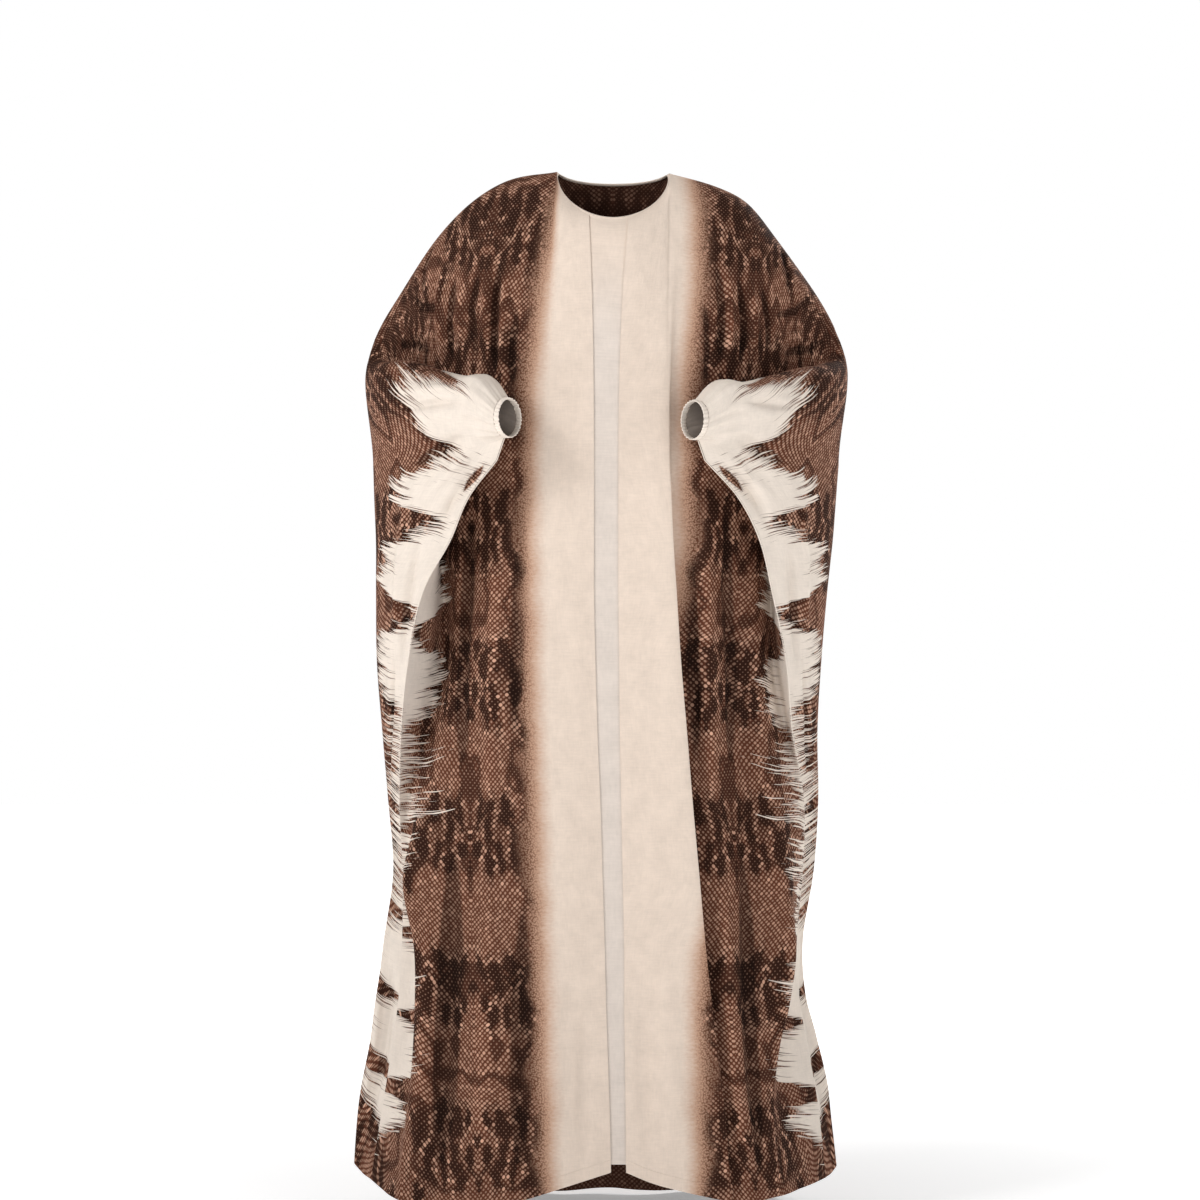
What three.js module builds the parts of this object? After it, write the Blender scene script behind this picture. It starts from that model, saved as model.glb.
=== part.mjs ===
// A long batwing gown as it is worn: two fronts and a back, each cut in one with its half of the sleeves,
// an inset strip behind the free front edges, a neck binding and the elastic casings of the cuffs.
// Millimetres, +Z up, -Y to the front, +X to the wearer's left. The origin is the middle of the neck hole at
// the height of the shoulder line, where the wearer's neck and shoulders carry the gown.
import * as THREE from 'three';

// ---- driving dimensions ----
const WALL = 2; // cloth as a wall
const SEAM_GAP = 0.3; // between two pieces at a seam
const NECK_HALF_WIDTH = 80; // from the middle to the neck side
const NECK_FRONT_DROP = 76; // lowest point of the round neck in front
const RIGHT_EDGE_AT_NECK = 34; // the two front edges spread a little at the neckline
const LEFT_EDGE_AT_NECK = 21;
const NECK_BACK_DROP = 12; // and at the back
const NECK_FRONT_DEPTH = 74; // how far the neckline stands in front of the neck side
const NECK_BACK_DEPTH = 62;
const NECKLINE_SLOPE = 0.9; // fall per unit forward where the cloth leaves the middle of the neckline
const NECKLINE_REACH = 0.65; // its reach there, as a share of that at the neck side
const BINDING_WIDTH = 5;
const BINDING_PROUD = 0.25; // binding past each face of the cloth
const WRIST_RADIUS = 27; // the gathered sleeve end
const WRIST_FACING = (-34.8 * Math.PI) / 180; // direction of the hand, from straight inward towards the front
const CASING_WIDTH = 9;
const CASING_PROUD = 0.3;
const STRIP_HIDDEN = 15; // how far the strip reaches behind each front edge
const STRIP_SHORT = 11; // the strip ends this far above the front corners
const YOKE_BOTTOM = -420; // below this height the cloth hangs in level sections
const BACK_HALF_WIDTH = 330; // the oval that the folds of the back stand out from
const BACK_DEPTH = 130;
const SHARPEST_FOLD = 0.45; // limits how far the inner corner of a folded wall is set back

// ---- grid ----
const NECK_CELLS = 4; // along the neckline, from the middle to the neck side
const ARM_CELLS = 17; // along the shoulder and overarm line, from the neck side to the wrist
const YOKE_ROWS = 9; // from the overarm line to the bottom of the yoke
const WRIST_ROWS = 8; // of those, the rows that close the half ring of the wrist
const SKIRT_ROWS = 15; // from the yoke to the hem
const ROWS = YOKE_ROWS + SKIRT_ROWS;
const COLUMNS = NECK_CELLS + ARM_CELLS;

// Grid column of each named line that runs down the cloth, counted from the middle of the gown.
const FRONT_LINES = {
  centre: 0, breast: 2, pleat: 4, tuck: 6, flank: 8,
  dip: 10, fold: 12, valley: 15, inner: 18, seam: 21,
};
const BACK_LINES = { middle: 0, blade: 4, side: 10, outer: 15, wing: 18, seam: 21 };

// ---- level sections of each half: height, then [outward, y] of the cloth at each named line ----
// Down to about -900 the side seam is the front ridge of a wing that the forearm carries, with a valley
// behind it. Lower down the fold turns over, and the front lies over the wing.
const RIGHT_FRONT = [
  // height, centre, breast, pleat, tuck, flank, dip, fold, valley, inner, seam
  [-420, [27, -119], [60, -119], [95, -116], [117, -112], [152, -98],
    [188, -74], [226, -32], [265, 6], [218, -90], [160, -170]],
  [-470, [27, -120], [60, -121], [95, -119], [117, -115], [152, -101],
    [187, -76], [224, -36], [259, 4], [233, -78], [199, -158]],
  [-530, [27, -121], [61, -122], [97, -120], [118, -117], [152, -103],
    [186, -78], [220, -42], [249, -1], [241, -70], [226, -141]],
  [-600, [27, -122], [62, -124], [98, -122], [120, -119], [153, -105],
    [186, -81], [218, -48], [242, -8], [252, -62], [265, -115]],
  [-700, [25, -124], [62, -126], [100, -124], [123, -121], [156, -108],
    [190, -85], [221, -54], [242, -16], [263, -48], [288, -86]],
  [-800, [22, -126], [62, -129], [103, -127], [127, -124], [162, -110],
    [199, -88], [234, -62], [262, -24], [279, -36], [299, -62]],
  [-900, [18, -128], [62, -132], [107, -130], [132, -127], [170, -112],
    [214, -90], [260, -68], [285, -36], [292, -28], [303, -36]],
  [-1000, [15, -130], [62, -135], [110, -133], [138, -130], [180, -116],
    [232, -96], [294, -73], [281, -42], [288, -27], [300, -14]],
  [-1100, [12, -132], [62, -137], [113, -136], [141, -133], [183, -120],
    [230, -102], [279, -82], [265, -46], [281, -25], [301, -12]],
  [-1180, [10, -133], [62, -138], [115, -138], [143, -135], [185, -122],
    [231, -105], [277, -87], [265, -49], [284, -26], [306, -12]],
  [-1240, [8, -134], [62, -139], [116, -140], [145, -137], [187, -124],
    [232, -108], [279, -90], [271, -54], [290, -28], [314, -12]],
  [-1330, [5, -136], [62, -141], [118, -142], [147, -140], [190, -128],
    [236, -112], [284, -94], [292, -64], [308, -36], [328, -14]],
  [-1470, [2, -138], [62, -143], [121, -145], [151, -144], [196, -134],
    [243, -120], [289, -100], [315, -76], [333, -46], [351, -18]],
];
const RIGHT_BACK = [
  // height, middle, blade, side, outer, wing
  [-420, [0, 100], [95, 106], [246, 80], [342, -10], [268, -133]],
  [-470, [0, 103], [97, 110], [247, 83], [340, -8], [287, -112]],
  [-530, [0, 106], [98, 114], [247, 86], [337, -6], [299, -94]],
  [-600, [0, 110], [100, 118], [247, 88], [336, -4], [312, -76]],
  [-700, [0, 115], [102, 124], [247, 92], [334, 0], [320, -52]],
  [-800, [0, 120], [104, 128], [246, 96], [326, 4], [319, -33]],
  [-900, [0, 125], [106, 133], [246, 100], [318, 9], [314, -15]],
  [-1000, [0, 130], [108, 138], [247, 104], [312, 14], [308, 0]],
  [-1100, [0, 135], [110, 143], [252, 108], [326, 20], [318, 3]],
  [-1180, [0, 139], [113, 147], [258, 111], [336, 23], [325, 4]],
  [-1240, [0, 142], [115, 150], [264, 114], [345, 25], [332, 5]],
  [-1330, [0, 147], [118, 155], [272, 118], [362, 26], [348, 6]],
  [-1470, [0, 155], [122, 163], [282, 124], [371, 26], [364, 4]],
];
const LEFT_FRONT = [
  // height, centre, breast, pleat, tuck, flank, dip, fold, valley, inner, seam
  [-420, [7, -120], [42, -120], [76, -122], [82, -113], [124, -106],
    [166, -82], [208, -38], [247, 4], [196, -90], [125, -172]],
  [-470, [7, -121], [42, -122], [78, -125], [82, -112], [125, -107],
    [166, -79], [205, -42], [240, 0], [210, -80], [171, -157]],
  [-530, [7, -122], [42, -124], [80, -127], [82, -111], [126, -108],
    [167, -78], [203, -48], [231, -6], [219, -70], [203, -134]],
  [-600, [7, -123], [43, -126], [84, -130], [83, -112], [128, -110],
    [168, -76], [202, -56], [225, -16], [226, -60], [221, -109]],
  [-700, [8, -125], [44, -128], [90, -133], [86, -113], [132, -112],
    [173, -75], [206, -68], [227, -28], [237, -48], [243, -80]],
  [-800, [9, -127], [46, -131], [98, -137], [92, -114], [138, -114],
    [180, -76], [212, -80], [237, -42], [247, -34], [253, -56]],
  [-900, [11, -129], [50, -134], [106, -140], [99, -116], [144, -117],
    [187, -78], [224, -88], [250, -60], [262, -43], [272, -24]],
  [-1000, [13, -131], [54, -137], [115, -143], [108, -119], [153, -120],
    [196, -83], [236, -90], [258, -58], [264, -38], [270, -18]],
  [-1100, [15, -133], [58, -139], [124, -145], [118, -122], [162, -122],
    [205, -88], [254, -84], [252, -50], [256, -30], [262, -12]],
  [-1180, [15, -134], [60, -141], [133, -147], [128, -126], [172, -124],
    [211, -92], [247, -84], [237, -48], [250, -28], [266, -10]],
  [-1240, [16, -135], [62, -143], [140, -148], [137, -130], [180, -126],
    [216, -96], [233, -88], [228, -52], [252, -30], [276, -11]],
  [-1330, [17, -137], [64, -145], [150, -149], [150, -135], [190, -130],
    [222, -103], [224, -95], [240, -66], [266, -40], [292, -14]],
  [-1470, [18, -139], [66, -147], [160, -150], [164, -143], [196, -134],
    [222, -118], [246, -104], [268, -78], [288, -48], [306, -18]],
];
const LEFT_BACK = [
  // height, middle, blade, side, outer, wing
  [-420, [0, 100], [95, 106], [240, 80], [322, -10], [236, -140]],
  [-470, [0, 103], [97, 110], [240, 83], [318, -8], [257, -114]],
  [-530, [0, 106], [98, 114], [238, 86], [313, -6], [268, -94]],
  [-600, [0, 110], [100, 118], [236, 88], [305, -4], [274, -74]],
  [-700, [0, 115], [102, 124], [232, 92], [296, 0], [278, -50]],
  [-800, [0, 120], [104, 128], [228, 96], [290, 4], [280, -30]],
  [-900, [0, 125], [106, 133], [226, 100], [291, 10], [285, -8]],
  [-1000, [0, 130], [108, 138], [226, 104], [285, 14], [280, -2]],
  [-1100, [0, 135], [110, 143], [224, 108], [270, 20], [268, 2]],
  [-1180, [0, 139], [113, 147], [228, 111], [274, 23], [272, 3]],
  [-1240, [0, 142], [115, 150], [236, 114], [288, 25], [284, 4]],
  [-1330, [0, 147], [118, 155], [248, 118], [307, 26], [302, 6]],
  [-1470, [0, 155], [122, 163], [262, 124], [324, 26], [318, 4]],
];

// ---- hem height at each named line ----
const RIGHT_FRONT_HEM = [-1406, -1424, -1442, -1448, -1454, -1455, -1454, -1451, -1445, -1437];
const LEFT_FRONT_HEM = [-1406, -1423, -1444, -1446, -1448, -1445, -1443, -1440, -1438, -1435];
const RIGHT_BACK_HEM = [-1483, -1488, -1470, -1420, -1431, -1437];
const LEFT_BACK_HEM = [-1483, -1488, -1470, -1424, -1431, -1435];

// ---- overarm line of each half: grid column past the neck side, then [outward, y, z] ----
const RIGHT_OVERARM = [
  [0, [80, 0, 0]],
  [3, [150, 4, -12]],
  [5, [205, 6, -45]],
  [7, [256, 8, -99]],
  [9, [296, 5, -166]],
  [11, [336, -10, -262]],
  [12, [318, -46, -275]],
  [13, [285, -76, -275]],
  [14, [240, -108, -291]],
  [15, [203, -134, -301]],
  [16, [172, -158, -302]],
  [17, [149, -180, -335]],
];
const LEFT_OVERARM = [
  [0, [80, 0, -2]],
  [3, [148, 4, -21]],
  [5, [192, 6, -44]],
  [7, [230, 8, -89]],
  [9, [273, 5, -153]],
  [10, [298, 0, -205]],
  [11, [319, -10, -262]],
  [12, [298, -48, -278]],
  [13, [260, -78, -286]],
  [14, [214, -108, -300]],
  [15, [176, -136, -310]],
  [16, [142, -160, -309]],
  [17, [115, -180, -338]],
];

// ---- how the cloth leaves the overarm line. The turn is the front's direction, in degrees from straight
// forward with inward positive; the back leaves the other way ----
const LEAVING = [
  // column past the neck side, turn, front reach, back reach, front fall, back fall
  [0, 0, 62, 60, 240, 250],
  [5, 4, 76, 72, 210, 220],
  [9, 25, 74, 70, 130, 130],
  [11, 95, 52, 34, 70, 60],
  [13, 140, 40, 74, 50, 60],
  [16, 145, 36, 78, 40, 50],
  [17, 145, 36, 78, 30, 40],
];

// ---- long soft folds of the back, each a ridge that grows from its start down to the hem ----
const BACK_FOLDS = [
  // grid column from the middle (right half negative), half width in columns, depth at the hem, start height
  [-13, 2.2, 15, -420],
  [-9, 2.6, 24, -260],
  [-4.5, 2.2, 17, -330],
  [-0.5, 1.9, 13, -520],
  [4, 2.4, 22, -230],
  [8.5, 2.1, 16, -400],
  [12.5, 2.4, 19, -300],
];

/** Smooth curve through rows of [parameter, ...numbers]: a row's slope is taken from its neighbours. */
function through(rows, at) {
  const last = rows.length - 1;
  let i = 0;
  while (i < last - 1 && (at - rows[i + 1][0]) * (rows[last][0] - rows[0][0]) > 0) i += 1;
  const [a, b] = [rows[i], rows[i + 1]];
  const [before, after] = [rows[Math.max(i - 1, 0)], rows[Math.min(i + 2, last)]];
  const step = b[0] - a[0];
  const f = THREE.MathUtils.clamp((at - a[0]) / step, 0, 1);
  return a.slice(1).map((start, n) => {
    const end = b[n + 1];
    const slopeA = ((end - before[n + 1]) / (b[0] - before[0])) * step;
    const slopeB = ((after[n + 1] - start) / (after[0] - a[0])) * step;
    const eased = f * f * (3 - 2 * f);
    const bend = f * (1 - f) * (slopeA * (1 - f) - slopeB * f);
    return THREE.MathUtils.lerp(start, end, eased) + bend;
  });
}

/** Points of one level section at every grid column, from its table, its lines and a height. */
function levelSection(table, lines, height) {
  const flat = through(table.map(([z, ...points]) => [z, ...points.flat()]), height);
  const anchors = Object.values(lines).map((column, n) => [column, flat[2 * n], flat[2 * n + 1]]);
  return Array.from({ length: COLUMNS + 1 }, (_, column) => through(anchors, column));
}

/** How far the back stands out at a grid column and a height, because of its folds. */
function foldDepth(signedColumn, height) {
  const hemHeight = RIGHT_BACK_HEM[0];
  return BACK_FOLDS.reduce((depth, [column, halfWidth, hemDepth, start]) => {
    const across = THREE.MathUtils.clamp((signedColumn - column) / halfWidth, -1, 1);
    const grown = THREE.MathUtils.clamp((height - start) / (hemHeight - start), 0, 1);
    return depth + hemDepth * grown * (0.5 + 0.5 * Math.cos(Math.PI * across));
  }, 0);
}

/** A level section of one half of the back, with its folds standing straight out from the figure. */
function backSection(gown, height) {
  return levelSection(gown.back, BACK_LINES, height).map(([out, y], column) => {
    const depth = foldDepth(column * gown.side, height);
    const reach = Math.hypot(out / BACK_HALF_WIDTH, y / BACK_DEPTH);
    return [out + (depth * out) / BACK_HALF_WIDTH / reach, y + (depth * y) / BACK_DEPTH / reach];
  });
}

/** One half of the gown, where the back's sections end on the front's seam line. */
const half = (tables) => ({
  ...tables,
  back: tables.back.map((row, n) => [...row, tables.front[n].at(-1)]),
  overarm: tables.overarm.map(([column, point]) => [column, ...point]),
});
const RIGHT = half({
  side: -1,
  edgeAtNeck: RIGHT_EDGE_AT_NECK,
  front: RIGHT_FRONT,
  back: RIGHT_BACK,
  overarm: RIGHT_OVERARM,
  frontHem: RIGHT_FRONT_HEM,
  backHem: RIGHT_BACK_HEM,
});
const LEFT = half({
  side: 1,
  edgeAtNeck: LEFT_EDGE_AT_NECK,
  front: LEFT_FRONT,
  back: LEFT_BACK,
  overarm: LEFT_OVERARM,
  frontHem: LEFT_FRONT_HEM,
  backHem: LEFT_BACK_HEM,
});

/** Upper edge of a panel at a grid column: the neckline up to the neck side, then the overarm line. */
function upperEdge(gown, column, isFront) {
  if (column >= NECK_CELLS) {
    return new THREE.Vector3(...through(gown.overarm, column - NECK_CELLS));
  }
  const start = isFront ? Math.asin(gown.edgeAtNeck / NECK_HALF_WIDTH) : 0;
  const turn = THREE.MathUtils.lerp(start, Math.PI / 2, column / NECK_CELLS);
  const drop = isFront ? NECK_FRONT_DROP : NECK_BACK_DROP;
  const depth = isFront ? -NECK_FRONT_DEPTH : NECK_BACK_DEPTH;
  const neckSide = gown.overarm[0][3];
  return new THREE.Vector3(
    NECK_HALF_WIDTH * Math.sin(turn),
    depth * Math.cos(turn),
    neckSide - (drop + neckSide) * Math.cos(turn),
  );
}

/** The cloth from a point of its upper edge down to the yoke's bottom: a curve that leaves the edge level. */
function yokeCurve(gown, column, isFront, section) {
  const past = Math.max(column - NECK_CELLS, 0);
  const [turn, frontReach, backReach, frontFall, backFall] = through(LEAVING, past);
  const angle = THREE.MathUtils.degToRad(turn);
  const away = isFront ? 1 : -1;
  const toMiddle = 1 - Math.min(column / NECK_CELLS, 1);
  const level = new THREE.Vector3(-Math.sin(angle), -Math.cos(angle), 0).multiplyScalar(away);
  const leave = level.setZ(-NECKLINE_SLOPE * toMiddle).normalize();
  const reach = (isFront ? frontReach : backReach) * THREE.MathUtils.lerp(1, NECKLINE_REACH, toMiddle);
  const fall = isFront ? frontFall : backFall;
  const start = upperEdge(gown, column, isFront);
  const end = new THREE.Vector3(...section[column], YOKE_BOTTOM);
  return new THREE.CubicBezierCurve3(
    start,
    start.clone().addScaledVector(leave, reach),
    end.clone().add(new THREE.Vector3(0, 0, fall)),
    end,
  );
}

/** A point of the half ring at the wrist: 0 at its top, 1 at its bottom. */
function wristPoint(gown, fraction, isFront) {
  const top = new THREE.Vector3(...through(gown.overarm, ARM_CELLS));
  const turn = fraction * Math.PI;
  const away = isFront ? 1 : -1;
  const across = new THREE.Vector3(Math.sin(WRIST_FACING), Math.cos(WRIST_FACING), 0).multiplyScalar(away);
  return top
    .addScaledVector(across, WRIST_RADIUS * Math.sin(turn))
    .add(new THREE.Vector3(0, 0, -WRIST_RADIUS * (1 - Math.cos(turn))));
}

/** One half of a front or a back as rows of points, from the middle outward, in the gown's frame. */
function panelGrid(gown, isFront) {
  const frontSection = (height) => levelSection(gown.front, FRONT_LINES, height);
  const section = isFront ? frontSection : (height) => backSection(gown, height);
  const hemHeights = isFront ? gown.frontHem : gown.backHem;
  const hem = Object.values(isFront ? FRONT_LINES : BACK_LINES).map((column, n) => [column, hemHeights[n]]);
  const yokeSection = section(YOKE_BOTTOM);
  const rows = [];
  for (let row = 0; row <= ROWS; row += 1) {
    const points = [];
    for (let column = 0; column <= COLUMNS; column += 1) {
      if (row > YOKE_ROWS) {
        const fraction = (row - YOKE_ROWS) / SKIRT_ROWS;
        const height = THREE.MathUtils.lerp(YOKE_BOTTOM, through(hem, column)[0], fraction);
        points.push(new THREE.Vector3(...section(height)[column], height));
      } else if (column === COLUMNS && row <= WRIST_ROWS) {
        points.push(wristPoint(gown, row / WRIST_ROWS, isFront));
      } else {
        points.push(yokeCurve(gown, column, isFront, yokeSection).getPointAt(row / YOKE_ROWS));
      }
    }
    rows.push(points);
  }
  rows.forEach((points) => points.forEach((point) => point.setX(point.x * gown.side)));
  return rows;
}

const grids = {
  frontRight: panelGrid(RIGHT, true),
  frontLeft: panelGrid(LEFT, true),
  backRight: panelGrid(RIGHT, false),
  backLeft: panelGrid(LEFT, false),
};

// ---- solids ----

/** Outward normal of every grid point, shared by the panels that meet there, and how sharply they fold there:
 * the cosine between that normal and the faces around it. */
function sharedNormals(allGrids) {
  const key = (point) => point.toArray().map((value) => Math.round(value * 100)).join();
  const faces = new Map();
  for (const { rows, flip } of allGrids) {
    for (let row = 0; row < rows.length - 1; row += 1) {
      for (let column = 0; column < rows[row].length - 1; column += 1) {
        const [a, b] = rows[row].slice(column, column + 2);
        const [d, c] = rows[row + 1].slice(column, column + 2);
        const corners = [a, b, c, d];
        const normal = d.clone().sub(b).cross(c.clone().sub(a)).multiplyScalar(flip);
        for (const corner of corners) {
          faces.set(key(corner), [...(faces.get(key(corner)) ?? []), normal]);
        }
      }
    }
  }
  return (point) => {
    const around = faces.get(key(point));
    const normal = around.reduce((sum, face) => sum.add(face), new THREE.Vector3()).normalize();
    const cosines = around.map((face) => face.clone().normalize().dot(normal));
    const cosine = cosines.reduce((sum, value) => sum + value, 0) / cosines.length;
    return { normal, cosine: Math.max(cosine, SHARPEST_FOLD) };
  };
}

const normalAt = sharedNormals([
  { rows: grids.frontRight, flip: -1 },
  { rows: grids.frontLeft, flip: 1 },
  { rows: grids.backRight, flip: 1 },
  { rows: grids.backLeft, flip: -1 },
]);

/** A closed body from two matching grids of points, the outer face and the inner face. */
function closedWall(outer, inner, wraps = false) {
  const [rowCount, width] = [outer.length, outer[0].length];
  const points = [...outer.flat(), ...inner.flat()];
  const index = [];
  const quad = (a, b, c, d) => index.push(a, b, c, a, c, d);
  const at = (row, column, face) => face * rowCount * width + row * width + (column % width);
  const cells = wraps ? width : width - 1;
  for (let row = 0; row < rowCount - 1; row += 1) {
    for (let column = 0; column < cells; column += 1) {
      quad(at(row, column, 0), at(row + 1, column, 0), at(row + 1, column + 1, 0), at(row, column + 1, 0));
      quad(at(row, column, 1), at(row, column + 1, 1), at(row + 1, column + 1, 1), at(row + 1, column, 1));
    }
  }
  // An edge face starts at its point nearest the middle plane, so that two pieces at a seam split alike.
  const edgeFace = (from, to, reversed) => {
    const [fromOut, toOut] = [from, to].map((place) => Math.abs(points[at(...place, 0)].x));
    const ends = fromOut <= toOut ? [from, to] : [to, from];
    const [[a, b], [d, c]] = [0, 1].map((face) => ends.map((end) => at(...end, face)));
    if (reversed === (ends[0] === from)) quad(a, d, c, b);
    else quad(a, b, c, d);
  };
  for (let column = 0; column < cells; column += 1) {
    edgeFace([0, column], [0, column + 1], false);
    edgeFace([rowCount - 1, column], [rowCount - 1, column + 1], true);
  }
  for (let row = 0; row < rowCount - 1 && !wraps; row += 1) {
    edgeFace([row, 0], [row + 1, 0], true);
    edgeFace([row, width - 1], [row + 1, width - 1], false);
  }
  const geometry = new THREE.BufferGeometry();
  const positions = points.flatMap((point) => point.toArray());
  geometry.setAttribute('position', new THREE.Float32BufferAttribute(positions, 3));
  geometry.setIndex(index);
  if (signedVolume(geometry) < 0) {
    for (let n = 0; n < index.length; n += 3) [index[n], index[n + 1]] = [index[n + 1], index[n]];
    geometry.setIndex(index);
  }
  geometry.computeVertexNormals();
  return geometry;
}

function signedVolume(geometry) {
  const position = geometry.getAttribute('position');
  const index = geometry.getIndex();
  const corner = (n) => new THREE.Vector3().fromBufferAttribute(position, index.getX(n));
  let volume = 0;
  for (let n = 0; n < index.count; n += 3) volume += corner(n).dot(corner(n + 1).cross(corner(n + 2))) / 6;
  return volume;
}

/** Move a grid's edge points inward by half a seam gap. Edges are the top row, the first and last columns. */
function trimmed(rows, edges) {
  const moved = rows.map((points) => points.map((point) => point.clone()));
  const width = rows[0].length;
  const pull = (place, before, after, inside) => {
    const at = ([row, column]) => rows[row][column];
    const point = at(place);
    const along = at(after).clone().sub(at(before)).normalize();
    const inward = at(inside).clone().sub(point);
    inward.addScaledVector(along, -inward.dot(along)).setLength(SEAM_GAP / 2 / normalAt(point).cosine);
    moved[place[0]][place[1]].add(inward);
  };
  const clampRow = (row) => THREE.MathUtils.clamp(row, 0, rows.length - 1);
  const clampColumn = (column) => THREE.MathUtils.clamp(column, 0, width - 1);
  if (edges.includes('top')) {
    for (let column = 0; column < width; column += 1) {
      pull([0, column], [0, clampColumn(column - 1)], [0, clampColumn(column + 1)], [1, column]);
    }
  }
  const sides = { first: [0, 1], last: [width - 1, width - 2] };
  for (const [name, [end, inside]] of Object.entries(sides)) {
    for (let row = 0; row < rows.length && edges.includes(name); row += 1) {
      pull([row, end], [clampRow(row - 1), end], [clampRow(row + 1), end], [row, inside]);
    }
  }
  return moved;
}

/** A panel of cloth: the outer face on its grid, trimmed at its seams, and the inner face one wall inside. */
function panel(rows, edges) {
  const outer = trimmed(rows, edges);
  const inner = outer.map((points, row) =>
    points.map((point, column) => {
      const { normal, cosine } = normalAt(rows[row][column]);
      return point.clone().addScaledVector(normal, -WALL / cosine);
    }),
  );
  return closedWall(outer, inner);
}

const printed = new THREE.MeshStandardMaterial({ color: 0x54362c, roughness: 0.75, metalness: 0 });
const linen = new THREE.MeshStandardMaterial({ color: 0xe0d7cd, roughness: 0.85, metalness: 0 });
const cream = new THREE.MeshStandardMaterial({ color: 0xecdcce, roughness: 0.8, metalness: 0 });

const gown = new THREE.Group();

function add(name, geometry, material) {
  const mesh = new THREE.Mesh(geometry, material);
  mesh.name = name;
  gown.add(mesh);
}

/** The back in one piece: the right half reversed, then the left half without the shared middle line. */
const wholeBack = grids.backRight.map((points, row) => {
  const [, ...leftHalf] = grids.backLeft[row];
  return [...points.slice().reverse(), ...leftHalf];
});

/** The neckline's lowest part, half way between the two front edges. */
function neckMiddle() {
  const [right, left] = [grids.frontRight[0][0], grids.frontLeft[0][0]];
  const x = (right.x + left.x) / 2;
  const cosine = Math.sqrt(1 - (x / NECK_HALF_WIDTH) ** 2);
  const point = new THREE.Vector3(x, -NECK_FRONT_DEPTH * cosine, -NECK_FRONT_DROP * cosine);
  const normal = normalAt(right).normal.clone().add(normalAt(left).normal).normalize();
  return { point, normal };
}

/** Inset strip: behind both front edges and the opening between them, one gap inside their inner faces. */
function centreStrip() {
  const outer = [];
  for (let row = 0; row <= ROWS; row += 1) {
    const edges = [grids.frontRight[row], grids.frontLeft[row]].map(([edge, next]) => {
      const inside = edge.clone().addScaledVector(normalAt(edge).normal, -WALL - SEAM_GAP);
      return { inside, under: next.clone().sub(edge).setLength(STRIP_HIDDEN).add(inside) };
    });
    const middle = edges[0].inside.clone().add(edges[1].inside).multiplyScalar(0.5);
    outer.push([edges[0].under, edges[0].inside, middle, edges[1].inside, edges[1].under]);
  }
  const { point, normal } = neckMiddle();
  outer[0][2].copy(point).addScaledVector(normal, -WALL - SEAM_GAP);
  const foot = outer.at(-1);
  foot.forEach((point) => point.setZ(point.z + STRIP_SHORT));
  const behind = new THREE.Vector3(0, WALL, 0);
  const inner = outer.map((points) => points.map((point) => point.clone().add(behind)));
  return closedWall(outer, inner);
}

/** A band that goes on from a closed loop of edge points: out along the cloth, proud of both of its faces. */
function band(loop, width, proud) {
  const faces = [proud, -WALL - proud].map((offset) =>
    [SEAM_GAP, SEAM_GAP + width].map((reach) =>
      loop.map(({ point, onward, normal }) =>
        point.clone().addScaledVector(onward, reach).addScaledVector(normal, offset),
      ),
    ),
  );
  return closedWall(faces[0], faces[1], true);
}

/** Neckline points, each with the direction in which the cloth would go on into the neck hole. */
function neckLoop() {
  const outward = Array.from({ length: NECK_CELLS }, (_, column) => column);
  const inward = outward.map((column) => NECK_CELLS - column);
  const edge = [
    ...outward.map((column) => grids.frontLeft[0][column]),
    ...inward.map((column) => grids.backLeft[0][column]),
    ...outward.map((column) => grids.backRight[0][column]),
    ...inward.map((column) => grids.frontRight[0][column]),
    grids.frontRight[0][0],
  ];
  const loop = [...edge.map((point) => ({ point, normal: normalAt(point).normal })), neckMiddle()];
  return loop.map(({ point, normal }, n) => {
    const along = loop[(n + 1) % loop.length].point.clone().sub(loop.at(n - 1).point);
    return { point, onward: normal.clone().cross(along).normalize(), normal };
  });
}

/** Elastic casing round one wrist, along the front half downward and the back half upward. */
function cuffCasing(frontRows, backRows, side) {
  const onward = new THREE.Vector3(-Math.cos(WRIST_FACING) * side, Math.sin(WRIST_FACING), 0);
  const rows = Array.from({ length: WRIST_ROWS }, (_, row) => row);
  const down = rows.map((row) => frontRows[row][COLUMNS]);
  const up = rows.map((row) => backRows[WRIST_ROWS - row][COLUMNS]);
  const middle = down[0].clone().add(up[0]).multiplyScalar(0.5);
  const around = (point) => ({ point, onward, normal: point.clone().sub(middle).normalize() });
  return band([...down, ...up].map(around), CASING_WIDTH, CASING_PROUD);
}

add('front_right', panel(grids.frontRight, ['top', 'last']), printed);
add('front_left', panel(grids.frontLeft, ['top', 'last']), printed);
add('back', panel(wholeBack, ['top', 'first', 'last']), printed);
add('centre_strip', centreStrip(), linen);
add('neck_binding', band(neckLoop(), BINDING_WIDTH, BINDING_PROUD), linen);
add('cuff_casing_right', cuffCasing(grids.frontRight, grids.backRight, -1), cream);
add('cuff_casing_left', cuffCasing(grids.frontLeft, grids.backLeft, 1), cream);

export default gown;
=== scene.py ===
"""A long batwing gown, as it is worn and hollow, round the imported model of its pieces.

Two fronts and a back, each cut in one with its half of the sleeves, an inset strip behind the free front
edges, a neck binding and the elastic casings of the cuffs. Metres, +Z up, -Y to the front, +X to the
wearer's left.
"""

import math

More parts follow.
